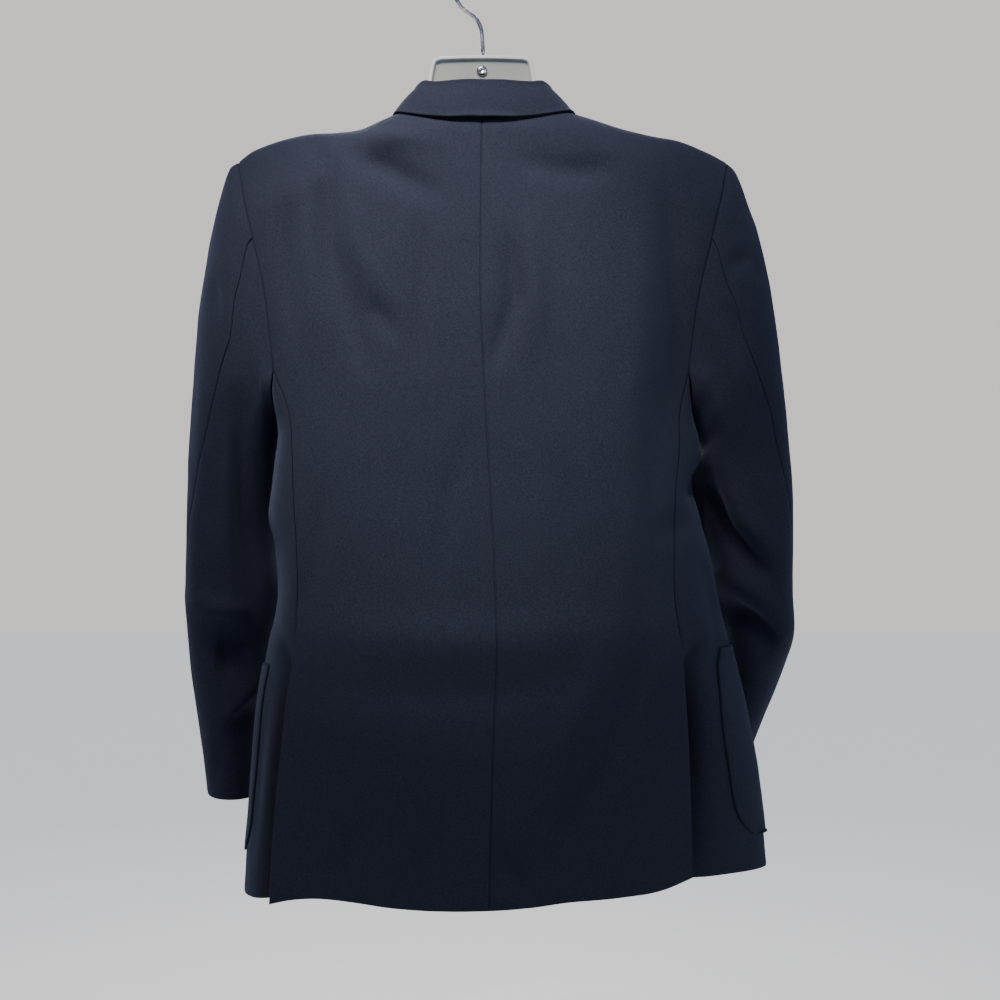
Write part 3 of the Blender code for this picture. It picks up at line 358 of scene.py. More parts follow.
def fold_height(folds, x, down):
    """The sum of the folds at these places. Each fades out sideways and towards its ends."""
    total = np.zeros(np.broadcast(x, down).shape)
    for height, width, *line in np.array(folds) * MM:
        start, middle, end = np.reshape(line, (3, 2))
        nearest = np.full(total.shape, np.inf)
        along = np.zeros(total.shape)
        for index, (a, b) in enumerate(((start, middle), (middle, end))):
            run = b - a
            t = np.clip(((x - a[0]) * run[0] + (down - a[1]) * run[1]) / (run @ run), 0, 1)
            away = np.hypot(x - a[0] - t * run[0], down - a[1] - t * run[1])
            along = np.where(away < nearest, (index + t) / 2, along)
            nearest = np.minimum(nearest, away)
        taper = FOLD_END + (1 - FOLD_END) * np.sin(np.pi * along) ** FOLD_TAPER
        total = total + height * taper * np.exp(-((nearest / width) ** 2))
    return total


print("deepest trough on the back:", -min(fold[0] for fold in BACK_FOLDS), "mm")

# %% [markdown]
# ## The body's surface
# The back and the fronts are the faces of one rounded form. Each hangs at its own distance from the hanger,
# and rolls over the shoulder in a quarter ellipse. A sheet made from a function like this has no steps,
# and two panels that use it meet exactly at their seam.

# %% How the cloth rolls over the shoulders
NECK_ROLL = 0.030
SLEEVE_ROLL = 0.070


def side_name(side):
    """The word for this side in the names of pieces and columns."""
    return "left" if side == LEFT else "right"


def pick(table, on_left, at):
    """The left column where on_left holds, and otherwise the right one."""
    return np.where(on_left, table("left", at), table("right", at))


def ridge(x):
    """How far down the shoulder's top line is."""
    return pick(SHOULDER, x > 0, np.abs(x))


def roll_radius(x):
    """How far down the cloth goes while it rolls over the shoulder: more at the sleeve than at the neck."""
    return NECK_ROLL + SLEEVE_ROLL * (np.abs(x) / SHOULDER_OUT) ** 2


def roll(x, down):
    """0 on the shoulder's top line, 1 where the panel has rolled over and hangs."""
    t = np.clip((down - ridge(x)) / roll_radius(x), 0, 1)
    return np.sqrt(t * (2 - t))


print("the shoulder's top line is", round(float(ridge(0.2)), 3), "m down near the sleeve")

# %% How far each panel hangs from the hanger's plane
def armhole_out(side, column, down):
    """How far out the armhole's seam is. The right one lies a little further out."""
    shift = 0 if side == LEFT else RIGHT_ARMHOLE_SHIFT
    return ARMHOLE(column, down) + shift


def edge_out(side, column, down):
    """How far out a panel's outer edge is: the armhole above, and the side seam below."""
    seam = SECTION(f"{side_name(side)}_{column}", down)
    return np.where(down < ARMHOLE_END, armhole_out(side, column, down), seam)


def hung_depth(table, column, centre, x, down):
    """How far a panel hangs from the hanger's plane, before it rolls over at the shoulder."""
    edge = np.where(x > centre, edge_out(LEFT, column, down), -edge_out(RIGHT, column, down))
    across = np.clip(np.abs((x - centre) / (edge - centre)), 0, 1.1)
    middle = table("centre", down)
    return middle - (middle - pick(table, x > centre, down)) * across**PANEL_POWER


def back_y(x, down):
    """The outer face of the back."""
    hung = hung_depth(BACK, "back", CENTRE("x", down), x, down)
    return hung * roll(x, down) + fold_height(BACK_FOLDS + BACK_CREASES, x, down)


def front_y(x, down):
    """The outer face of the fronts, without the overlap of one over the other."""
    hung = hung_depth(FRONT, "front", FRONT_CENTRE, x, down)
    return -hung * roll(x, down) - fold_height(FRONT_FOLDS, x, down)


print("the back stands off by", round(float(back_y(0.0, 0.6)) * 1000), "mm at the waist")

# %% Clear of the body, and one front over the other
def body_level(place):
    """Below 0 inside the shoulders' rounded form, above 0 outside it."""
    x, y, down = place[..., 0], place[..., 1], -place[..., 2]
    back = hung_depth(BACK, "back", CENTRE("x", down), x, down)
    front = hung_depth(FRONT, "front", FRONT_CENTRE, x, down)
    depth = np.where(y > 0, back, front)
    fall = np.minimum((down - ridge(x)) / roll_radius(x), 1)
    return (y / depth) ** 2 + (1 - fall) ** 2 - 1


def push_out(place, distance):
    """Moves points straight out of the body until they are this far from it."""
    nudge = 1e-5
    for _ in range(4):
        level = body_level(place)
        slopes = [body_level(place + step) - body_level(place - step) for step in np.eye(3) * nudge]
        slope = np.stack(slopes, axis=-1) / (2 * nudge)
        steepness = np.maximum(np.linalg.norm(slope, axis=-1), 1e-6)
        short = np.maximum(distance - level / steepness, 0)
        place = place + slope / steepness[..., None] * short[..., None]
    return place


def overlap(side, x, down):
    """The left front lies over the right one near the closing edge."""
    if side == RIGHT:
        return np.zeros(np.broadcast(x, down).shape)
    near = 1 - step_between(0.030, 0.110, np.abs(x - FRONT_CENTRE))
    return OVERLAP_LIFT * near * step_between(0.30, 0.44, down)


def front_face(side, x, down):
    """The outer face of one front."""
    return front_y(x, down) - overlap(side, x, down)


def points(x, y, down):
    """Places in space from x, y and down."""
    return np.stack(np.broadcast_arrays(x, y, -np.asarray(down)), axis=-1).astype(float)


print("the left front lies over by", OVERLAP_LIFT / MM, "mm")

# %% [markdown]
# ## Cutting the panels
# Each panel is a grid of points between four edges, like a piece of a paper pattern. Neighbours take the same
# heights along the seam that they share, so the seam stays closed wherever the cloth folds.

# %% The backs and the fronts
def hem_down(side):
    """The lower end of the back's outer edge."""
    return float(BACK_HEM("down", side * SECTION(f"{side_name(side)}_back", BACK_HEM_SIDE)))


def row_levels(top, end):
    """The rows' places along an edge, close together where the shoulder rolls over."""
    drops = (np.arange(ARMHOLE_ROWS + 1) / ARMHOLE_ROWS) ** 1.8
    upper = top + (ARMHOLE_END - top) * drops
    lower = np.linspace(ARMHOLE_END, end, LOWER_ROWS + 1)[1:]
    return np.concatenate([upper, lower])


def outer_levels(side, end):
    """The rows' places along a panel's outer edge, from the shoulder to this end."""
    return row_levels(float(ridge(side * armhole_out(side, "back", SHOULDER_DOWN))), end)


def panel_grid(side, column, inner, levels, top, bottom, columns, face):
    """A back or a front. `inner` gives x along its inner edge, `top` and `bottom` how far down it ends."""
    u = np.linspace(0, 1, columns)[None, :]
    v = row_levels(SHOULDER_DOWN, HEM_HEIGHT)[:, None]
    v = (v - v[0]) / (v[-1] - v[0])
    outer_down = levels[:, None]
    outer_x = side * edge_out(side, column, outer_down)
    start = top(inner(top(0.0)))
    x_end = float(outer_x[-1, 0])
    inner_end = bottom["inner"]
    inner_down = start + (inner_end - start) * v
    inner_x = inner(inner_down)
    x = inner_x * (1 - u) + outer_x * u
    straight = inner_down * (1 - u) + outer_down * u
    top_gap = top(x[:1]) - straight[:1]
    end_x = inner(inner_end) * (1 - u) + x_end * u
    bottom_gap = bottom["line"](end_x) - straight[-1:]
    down = straight + (1 - v) ** 2 * top_gap + v**2 * bottom_gap
    return points(x, face(x, down), down)


def neck_down(x):
    """The back's upper edge: the dip of the neck, then the shoulder's top line."""
    return ridge(x) + NECK_DIP * np.clip(1 - (x / NECK_OUT) ** 2, 0, 1)


def back_grid(side):
    """Half of the back, from the centre seam outwards."""
    levels = outer_levels(side, hem_down(side))

    def inner(down):
        return CENTRE("x", down)

    def hem(x):
        return BACK_HEM("down", x)

    bottom = {"inner": float(hem(inner(BACK_HEM_CENTRE))), "line": hem}
    return panel_grid(side, "back", inner, levels, neck_down, bottom, BACK_COLUMNS, back_y)


def front_hem(side):
    """The lower edge of a front: level with the rounded corner in front and a little lower at the side."""
    return lambda x: FRONT_HEM + (SIDE_HEM[side] - FRONT_HEM) * step_between(0.07, 0.19, np.abs(x))


def front_levels(side):
    """The rows' places along a front's outer edge."""
    return outer_levels(side, float(front_hem(side)(side * SIDE_HEM_OUT)))


def front_grid(side):
    """A front, from its closing edge outwards."""

    def inner(down):
        return FRONT_CENTRE - side * FRONT_EDGE("from_centre", down)

    def face(x, down):
        return front_face(side, x, down)

    bottom = {"inner": FRONT_HEM, "line": front_hem(side)}
    return panel_grid(side, "front", inner, front_levels(side), ridge, bottom, FRONT_COLUMNS, face)


print("rows and columns of a back and a front:", back_grid(LEFT).shape[:2], front_grid(LEFT).shape[:2])

# %% The side bodies
def side_section(side, t, back_down, front_down):
    """The side panel between its two seams, as a rounded section that reaches the body's widest place."""
    name = side_name(side)
    lap = VENT_LAP * step_between(VENT_TOP - 0.005, VENT_TOP + 0.035, back_down)
    sink = VENT_SINK(name, back_down)
    back_out = edge_out(side, "back", back_down) - lap
    front_out = edge_out(side, "front", front_down)
    back_depth = back_y(side * back_out, back_down) - sink
    front_depth = front_face(side, side * front_out, front_down)
    down = back_down * (1 - t) + front_down * t
    spread = front_out - back_out
    bulge = np.maximum(SECTION(f"{name}_side", down) - (back_out + front_out) / 2, 0.003)
    bulge = np.maximum(bulge - 2.25 * spread**2 / (16 * bulge), 0.002)
    ease = t * t * (3 - 2 * t)
    out = back_out + spread * ease + 4 * bulge * t * (1 - t)
    turn = 4 * bulge * t * (1 - t) * (SIDE_SLOPE_BACK * (1 - t) - SIDE_SLOPE_FRONT * t)
    y = back_depth + (front_depth - back_depth) * ease - turn
    return points(side * out, y, down)


def side_grid(side):
    """The side body, from the back's seam to the front's, with its dip under the arm."""
    back_levels = outer_levels(side, hem_down(side))[ARMHOLE_ROWS:, None]
    t = np.linspace(0, 1, SIDE_COLUMNS)[None, :]
    grid = side_section(side, t, back_levels, front_levels(side)[ARMHOLE_ROWS:, None])
    fade = (1 - step_between(ARMHOLE_END, 0.56, back_levels)) ** 2
    grid[:, :, 2] -= UNDERARM_DIP * fade * (4 * t * (1 - t)) ** 0.8
    rise, fall_off = SIDE_HEM_RISE[side]
    grid[:, :, 2] += rise * step_between(0.75, HEM_HEIGHT, back_levels) * (1 - t) ** fall_off
    return grid


print("rows and columns of a side body:", side_grid(LEFT).shape[:2])

# %% [markdown]
# ## Sleeves
# A tailored sleeve is two pieces, a wide top sleeve and a narrow under sleeve. Its rings start on the armhole
# itself and turn, one after another, until they lie level at the cuff. The left arm hangs free. The right
# one bends forward in front of the skirt.

# %% Rings of the sleeves
# A row is a ring: how far out and down its outer point lies, the same for its point beside the body, how far
# back its middle is, half its depth, the angles of the hind and fore seams round it in degrees, and how far
# it leans forward beside the body.
SLEEVES = {
    LEFT: (
        (0.2385, 0.1950, 0.1987, 0.4330, -0.002, 0.055, 83, 278, 0.000),
        (0.2470, 0.2015, 0.1996, 0.4370, -0.003, 0.056, 82, 277, 0.000),
        (0.2540, 0.2220, 0.2002, 0.4410, -0.005, 0.058, 78, 275, 0.000),
        (0.2620, 0.2500, 0.2010, 0.4460, -0.007, 0.060, 77, 272, 0.000),
        (0.2702, 0.2930, 0.2020, 0.4530, -0.010, 0.061, 83, 268, 0.000),
        (0.2772, 0.3370, 0.2032, 0.4620, -0.013, 0.061, 82, 264, 0.000),
        (0.2824, 0.3850, 0.2048, 0.4740, -0.016, 0.060, 79, 258, 0.000),
        (0.2864, 0.4300, 0.2068, 0.4900, -0.019, 0.059, 73, 250, -0.003),
        (0.2905, 0.4720, 0.2092, 0.5120, -0.022, 0.058, 64, 242, -0.008),
        (0.2925, 0.5150, 0.2115, 0.5400, -0.026, 0.056, 50, 232, -0.012),
        (0.2945, 0.5600, 0.2115, 0.5740, -0.030, 0.054, 32, 222, -0.016),
        (0.2973, 0.6100, 0.2080, 0.6150, -0.036, 0.052, 14, 212, -0.018),
        (0.2982, 0.6500, 0.2125, 0.6530, -0.043, 0.051, 2, 206, -0.016),
        (0.2966, 0.6950, 0.2215, 0.6960, -0.054, 0.050, -6, 202, -0.008),
        (0.2932, 0.7400, 0.2300, 0.7400, -0.069, 0.051, -10, 200, 0.000),
        (0.2905, 0.7850, 0.2320, 0.7870, -0.083, 0.052, -10, 200, 0.000),
        (0.2880, 0.8300, 0.2320, 0.8320, -0.095, 0.052, -10, 200, 0.000),
    ),
    RIGHT: (
        (0.2405, 0.1965, 0.2018, 0.4330, -0.002, 0.055, 86, 278, 0.000),
        (0.2495, 0.2070, 0.2036, 0.4370, -0.003, 0.056, 84, 277, 0.000),
        (0.2602, 0.2350, 0.2060, 0.4410, -0.005, 0.058, 79, 275, 0.000),
        (0.2700, 0.2610, 0.2085, 0.4460, -0.007, 0.060, 76, 272, 0.000),
        (0.2800, 0.3000, 0.2115, 0.4530, -0.010, 0.061, 80, 268, 0.000),
        (0.2870, 0.3400, 0.2150, 0.4620, -0.013, 0.061, 79, 264, 0.000),
        (0.2933, 0.3860, 0.2180, 0.4740, -0.016, 0.060, 73, 258, -0.006),
        (0.2992, 0.4300, 0.2140, 0.4900, -0.019, 0.059, 62, 250, -0.016),
        (0.3040, 0.4720, 0.2110, 0.5120, -0.022, 0.058, 54, 242, -0.026),
        (0.3083, 0.5200, 0.2170, 0.5400, -0.025, 0.056, 40, 232, -0.026),
        (0.3097, 0.5700, 0.2260, 0.5740, -0.030, 0.053, 22, 222, -0.025),
        (0.3118, 0.6170, 0.2370, 0.6150, -0.040, 0.050, 8, 212, -0.025),
        (0.3175, 0.6620, 0.2480, 0.6550, -0.058, 0.048, -2, 206, -0.018),
        (0.3150, 0.7000, 0.2540, 0.7010, -0.094, 0.046, -8, 202, -0.006),
        (0.3030, 0.7500, 0.2380, 0.7440, -0.122, 0.043, -10, 200, 0.000),
        (0.2890, 0.7960, 0.2140, 0.7870, -0.135, 0.041, -10, 200, 0.000),
        (0.2740, 0.8400, 0.1930, 0.8260, -0.143, 0.041, -10, 200, 0.000),
    ),
}
print("rings on a sleeve:", (len(SLEEVES[LEFT]) - 1) * RINGS_A_ROW + 1)

# %% Creases of the sleeves, behind and before
SLEEVE_FOLDS = {
    LEFT: (
        (-4, 7, 256, 315, 253, 333, 249, 350),
        (-15, 13, 230, 430, 226, 540, 220, 650),
        (6, 10, 290, 623, 262, 631, 228, 638),
        (-20, 22, 262, 672, 240, 676, 218, 684),
        (-4, 8, 265, 662, 256, 685, 252, 710),
        (6.5, 7, 216, 704, 233, 719, 256, 742),
        (-4, 8, 220, 726, 235, 740, 248, 756),
        (-2.2, 9, 242, 430, 252, 490, 258, 550),
        (-2, 9, 278, 400, 282, 460, 280, 530),
        (-2.4, 7, 260, 770, 268, 795, 274, 820),
    ),
    RIGHT: (
        (-4, 8, 235, 305, 245, 300, 260, 293),
        (-4, 10, 230, 340, 238, 360, 245, 390),
        (6, 10, 226, 476, 250, 538, 284, 576),
        (-22, 10, 212, 508, 234, 560, 274, 596),
        (-15, 15, 208, 495, 214, 540, 230, 590),
        (7, 10, 230, 590, 256, 608, 288, 632),
        (-24, 12, 222, 624, 257, 646, 298, 674),
        (4, 9, 240, 670, 262, 684, 290, 702),
        (-1.8, 7, 255, 315, 266, 308, 276, 304),
        (-2.2, 8, 265, 390, 272, 450, 278, 510),
    ),
}
FOREARM_FOLDS = {
    LEFT: (
        (-4, 8, 295, 570, 265, 590, 230, 585),
        (-3, 7, 290, 620, 270, 635, 245, 630),
        (-1.8, 9, 260, 270, 270, 350, 275, 430),
    ),
    RIGHT: (
        (-5, 8, 300, 590, 275, 610, 245, 605),
        (-4, 8, 305, 635, 285, 650, 260, 645),
        (-1.8, 9, 260, 270, 275, 350, 285, 430),
    ),
}
print("folds behind each sleeve:", len(SLEEVE_FOLDS[LEFT]), len(SLEEVE_FOLDS[RIGHT]))

# %% One ring, and where it starts on the armhole
SQUARER = 0.9


def sleeve_row(side, number):
    """The measures of a ring between two rows of the table."""
    columns = np.array(SLEEVES[side]).T
    keys = np.arange(columns.shape[1], dtype=float)
    return [float(smooth(keys, column, number)) for column in columns]


def armhole_loop(side, back, front, middle):
    """The armhole seam, from the shoulder down the back, under the arm and up the front."""
    top = back[:1, -1]
    under = middle[0, 1:-1] + [side * 0.0007, 0, 0]
    return np.concatenate([top, back[1 : ARMHOLE_ROWS + 1, -1], under, front[ARMHOLE_ROWS:0:-1, -1]])


def loop_angles(loop, under_index):
    """Each point's angle round the armhole, by its distance along the seam from the shoulder."""
    closed = np.vstack([loop, loop[:1]])
    along = np.concatenate([[0], np.cumsum(np.linalg.norm(np.diff(closed, axis=0), axis=1))])
    half = along[under_index]
    return np.where(along < half, along / half, 1 + (along - half) / (along[-1] - half)) * math.pi


def ring_points(side, row, angles):
    """One ring of a sleeve: a slightly square oval that leans forward towards the body."""
    out, down, under_out, under_down, middle, half_depth = row[:6]
    cos, sin = (np.sign(part) * np.abs(part) ** SQUARER for part in (np.cos(angles), np.sin(angles)))
    ring_out = (out + under_out) / 2 + (out - under_out) / 2 * cos
    ring_down = (down + under_down) / 2 + (down - under_down) / 2 * cos
    return points(side * ring_out, middle + half_depth * sin + row[8] * (1 - cos) / 2, ring_down)


cuff = ring_points(LEFT, sleeve_row(LEFT, len(SLEEVES[LEFT]) - 1), np.linspace(0, TURN, 60))
print("round the left cuff:", round(float(np.linalg.norm(np.diff(cuff, axis=0), axis=1).sum()), 3), "m")

# %% The under sleeve and the top sleeve
def sleeve_grids(side, loop):
    """The under and top sleeves. Their columns start on the armhole's points and spread out below."""
    count = len(loop)
    start = loop_angles(loop, ARMHOLE_ROWS + (SIDE_COLUMNS - 1) // 2)
    numbers = np.arange((len(SLEEVES[side]) - 1) * RINGS_A_ROW + 1) / RINGS_A_ROW
    rows = [sleeve_row(side, number) for number in numbers]
    misfit = loop - ring_points(side, rows[0], start[:count])
    middle = np.array([[ring_points(side, row, np.arange(8) * math.pi / 4).mean(axis=0)] for row in rows])
    grids, normals = [], []
    for first, last in ((HIND_SEAM, FORE_SEAM), (FORE_SEAM, count + HIND_SEAM)):
        index = np.arange(first, last + 1)
        turned = start[index % count] + TURN * (index // count)
        share = np.linspace(0, 1, len(index))
        rings = []
        for number, row in zip(numbers, rows):
            hind, fore = math.radians(row[6]), math.radians(row[7])
            ends = (hind, fore) if first == HIND_SEAM else (fore, hind + TURN)
            even = ends[0] + (ends[1] - ends[0]) * share
            spread = step_between(0, 3.5, number)
            ring = ring_points(side, row, turned * (1 - spread) + even * spread)
            rings.append(ring + misfit[index % count] * (1 - step_between(0, 7, number)))
        grids.append(np.array(rings))
        normals.append(outward(grids[-1], away_from_middle(grids[-1], middle)))
    join_sleeve(*normals)
    for index, grid in enumerate(grids):
        facing = normals[index][..., 1]
        out, down = side * grid[..., 0], -grid[..., 2]
        behind = fold_height(SLEEVE_FOLDS[side], out, down) * np.clip(facing, 0, 1) ** 0.5
        before = fold_height(FOREARM_FOLDS[side], out, down) * np.clip(-facing, 0, 1) ** 0.5
        below_head = step_between(0.0, 1.5, numbers)[:, None]
        grids[index] = grid + normals[index] * ((behind + before) * below_head)[..., None]
    normals = [outward(grid, away_from_middle(grid, middle)) for grid in grids]
    join_sleeve(*normals)
    return list(zip(grids, normals))


def join_sleeve(under_normals, top_normals):
    """Cuts both pieces' walls alike along the hind and fore seams."""
    share_normals((under_normals, np.s_[:, 0]), (top_normals, np.s_[:, -1]))
    share_normals((under_normals, np.s_[:, -1]), (top_normals, np.s_[:, 0]))


print("points round the armhole:", ARMHOLE_POINTS)

# %% Which way each panel faces
def outward(grid, outside):
    """The grid's normals, on the side that looks in this direction on the whole."""
    across = np.gradient(grid, axis=1)
    along = np.gradient(grid, axis=0)
    normals = np.cross(across, along)
    normals /= np.maximum(np.linalg.norm(normals, axis=2, keepdims=True), 1e-12)
    return normals * math.copysign(1, float((normals.mean(axis=(0, 1)) * np.array(outside)).sum()))


def away_from_middle(grid, middle):
    """The direction in which a sleeve piece's outer face looks on the whole, near the cuff."""
    return (grid[-4:] - middle[-4:]).mean(axis=(0, 1))


def share_normals(*edges):
    """Gives panels that meet at a seam one direction there, so that their walls are cut alike."""
    total = sum(normals[place] for normals, place in edges)
    total = total / np.linalg.norm(total, axis=-1, keepdims=True)
    for normals, place in edges:
        normals[place] = total


print("the back faces", outward(back_grid(LEFT), (0, 1, 0)).mean(axis=(0, 1)).round(2))

# %% [markdown]
# ## From a grid to a sheet of cloth
# Real seams are pressed open, so the cloth dips a little towards each one, and every edge is a fold and not a
# cut. The sheet is drawn down near its edges and its rim is rounded. A slow, faint unevenness keeps the
# panels from looking moulded. It depends only on the place in space, so two panels still meet.

# %% The cloth's unevenness, its edges and its thickness
SEAM_REACH = 0.0035
SEAM_DROP = 0.0006
# SEAM_SHADE is how far from each edge the painted shade of a seam's groove reaches.
SEAM_SHADE = 0.0009
SEAM_TOUCH = -0.00003
CLOSE_ROWS = (0.15, 0.40)
RIM_ROUND = 0.25
FACE_INSET = 0.04
UNEVEN = ((0.00055, 22.0), (0.00022, 60.0))


def run_along(grid, axis):
    """How far along the cloth each point lies from the first one of its row or column."""
    steps = np.linalg.norm(np.diff(grid, axis=axis), axis=2)
    return np.insert(np.cumsum(steps, axis=axis), 0, 0, axis=axis)


def edge_distance(grid):
    """How far each point lies from the nearest edge, measured along the cloth."""
    nearest = np.full(grid.shape[:2], np.inf)
    for axis in (0, 1):
        start = run_along(grid, axis)
        end = np.take(start, [-1], axis=axis) - start
        nearest = np.minimum(nearest, np.minimum(start, end))
    return nearest


def denser_edges(values):
    """Adds two rows and two columns close to each edge."""
    for axis in (0, 1):
        last = values.shape[axis] - 1
        close = np.array(CLOSE_ROWS)
        places = np.array([0, *close, *range(1, last), *(last - close[::-1]), last])
        low = np.minimum(places.astype(int), last - 1)
        share = (places - low).reshape([-1 if axis == a else 1 for a in range(3)])
        values = np.take(values, low, axis=axis) * (1 - share) + np.take(values, low + 1, axis=axis) * share
    return values


def unevenness(grid):
    """A faint, slow rise and fall of the cloth, by place."""
    rise = np.zeros(grid.shape[:2])
    for place in np.ndindex(rise.shape):
        at = Vector(grid[place])
        rise[place] = sum(height * noise.noise(at * scale) for height, scale in UNEVEN)
    return rise


def cut_place(grid):
    """Each point's place on the flat cloth, in metres: across and along it."""
    across, along = run_along(grid, 1), run_along(grid, 0)
    across = across - across[:, [across.shape[1] // 2]]
    return np.stack([across, along, np.zeros_like(along)], axis=-1)


print("the cloth is uneven by up to", round(sum(height for height, _ in UNEVEN) / MM, 2), "mm")

# %% The sheet itself
def turns_over(grid, normals):
    """Whether the grid's own turning runs against its outer face."""
    return bool(np.cross(grid[0, 1] - grid[0, 0], grid[1, 0] - grid[0, 0]) @ normals[0, 0] < 0)


def away_from_edges(grid, wall):
    """At each edge, the direction along the cloth that leads away from it."""
    pull = np.zeros_like(grid)
    for edge, inside in (
        (np.s_[0], np.s_[2]),
        (np.s_[-1], np.s_[-3]),
        (np.s_[:, 0], np.s_[:, 2]),
        (np.s_[:, -1], np.s_[:, -3]),
    ):
        run = grid[inside] - grid[edge]
        length = np.maximum(np.linalg.norm(run, axis=-1, keepdims=True), 1e-9)
        pull[edge] += run / length * np.minimum(1, length / wall)
    return pull


def sheet_faces(rows, columns):
    """The points of the rim, in order round it, and the faces of both sides and of the rim."""
    count = rows * columns
    number = np.arange(count).reshape(rows, columns)
    rim = np.concatenate([number[0, :-1], number[:-1, -1], number[-1, :0:-1], number[:0:-1, 0]])
    corners = np.stack([number[:-1, :-1], number[1:, :-1], number[1:, 1:], number[:-1, 1:]], -1)
    corners = corners.reshape(-1, 4)
    following = np.roll(rim, -1)
    mids = 2 * count + np.arange(len(rim))
    next_mids = np.roll(mids, -1)
    outer_rim = np.stack([following, rim, mids, next_mids], -1)
    inner_rim = np.stack([next_mids, mids, rim + count, following + count], -1)
    return rim, np.concatenate([corners[:, ::-1], corners + count, outer_rim, inner_rim])


def shell(name, grid, normals, wall, vent):
    """A sheet of cloth: the grid, the same grid moved in by the wall, and a rounded rim."""
    if turns_over(grid, normals):
        grid, normals = grid[:, ::-1], normals[:, ::-1]
    grid, normals = denser_edges(grid), denser_edges(normals)
    normals = normals / np.linalg.norm(normals, axis=2, keepdims=True)
    cut = cut_place(grid).reshape(-1, 3)
    near = np.clip(1 - edge_distance(grid) / SEAM_REACH, 0, 1)
    grid = grid + normals * (unevenness(grid) - SEAM_DROP * near**2)[..., None]
    pull = away_from_edges(grid, wall)
    outer = grid + pull * (SEAM_GAP / 2 + wall * RIM_ROUND) - normals * wall * FACE_INSET
    inner = outer - normals * wall * (1 - 2 * FACE_INSET)
    rim, faces = sheet_faces(*grid.shape[:2])
    middle = (grid + pull * SEAM_TOUCH - normals * wall / 2).reshape(-1, 3)[rim]
    vertices = np.concatenate([outer.reshape(-1, 3), inner.reshape(-1, 3), middle])
    made = dressed(name, vertices, faces, "cloth")
    note(made.data, "cut_place", "FLOAT_VECTOR", "vector", np.concatenate([cut, cut, cut[rim]]))
    # Painted shade for the seams' grooves and the recesses beside the vents, kept for the wool to darken its
    # colour by.
    shade = seam_shade(grid, vent).ravel()
    note(made.data, "seam_shade", "FLOAT", "value", np.concatenate([shade, shade, shade[rim]]))
    return made


def seam_shade(grid, vent):
    """How much shade is painted on the cloth: 1 in the groove of a seam, more in the recess beside a vent, 0
    away from both.
    """
    shade = np.exp(-((edge_distance(grid) / SEAM_SHADE) ** 2))
    if vent:
        first, name = vent
        deepest = VENT_DEPTH(name, -grid[..., 2])
        reach = VENT_SHADE_REACH + VENT_SHADE_MORE * deepest
        beside = np.exp(-((beyond_vent(grid, first) / reach) ** 2))
        opening = step_between(VENT_TOP - 0.01, VENT_TOP + 0.03, -grid[..., 2])
        shade = np.maximum(shade, VENT_SHADE * beside * opening * (0.5 + 0.5 * deepest))
    return shade


def note(mesh, name, kind, part, values):
    """Keeps a value for each point of a mesh, for the material to read."""
    attribute = mesh.attributes.new(name, kind, "POINT")
    attribute.data.foreach_set(part, np.asarray(values, np.float32).ravel())


def placed(name, data, place=(0, 0, 0), target=None):
    """Puts a mesh, a lamp or the camera into the scene, turned towards its target where it has one."""
    made = bpy.data.objects.new(name, data)
    bpy.context.scene.collection.objects.link(made)
    made.location = place
    if target:
        aim = Vector(target) - Vector(place)
        made.rotation_euler = aim.to_track_quat("-Z", "Y").to_euler()
    return made


def dressed(name, vertices, faces, finish):
    """A smooth mesh object in this finish that rides on the jacket's one body."""
    mesh = bpy.data.meshes.new(name)
    faces = [list(dict.fromkeys(map(int, face))) for face in faces]
    mesh.from_pydata([tuple(place) for place in vertices], [], faces)
    mesh.polygons.foreach_set("use_smooth", [True] * len(mesh.polygons))
    made = placed(name, mesh)
    mesh.materials.append(FINISHES[finish])
    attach(made, "root")
    finish != "thread"
    return made


print("the cloth dips by", SEAM_DROP / MM, "mm at its seams")

# %% [markdown]
# ## Materials as written sums
# A shader is a small calculation for each point of a surface. Writing it as sums in Python is easier to read
# than a list of sockets, so one small class wraps a socket and turns +, - and * into Math nodes.

# %% A socket that can be added and multiplied
class Sum:
    """A socket of a node, or a number on its way into one, with arithmetic."""

    def __init__(self, recipe, socket):
        self.recipe, self.socket = recipe, socket

    def _math(self, operation, *values):
        return self.recipe.node("ShaderNodeMath", {"operation": operation}, *values)

    def __add__(self, other):
        return self._math("ADD", self, other)

    def __sub__(self, other):
        return self._math("SUBTRACT", self, other)

    def __rsub__(self, other):
        return self._math("SUBTRACT", other, self)

    def __mul__(self, other):
        return self._math("MULTIPLY", self, other)

    __radd__ = __add__
    __rmul__ = __mul__

    def sine(self):
        return self._math("SINE", self)

    def between(self, low, high):
        """0 below low and 1 above high, with a smooth step."""
        settings = {"interpolation_type": "SMOOTHSTEP"}
        return self.recipe.node("ShaderNodeMapRange", settings, self, low, high, 0.0, 1.0)


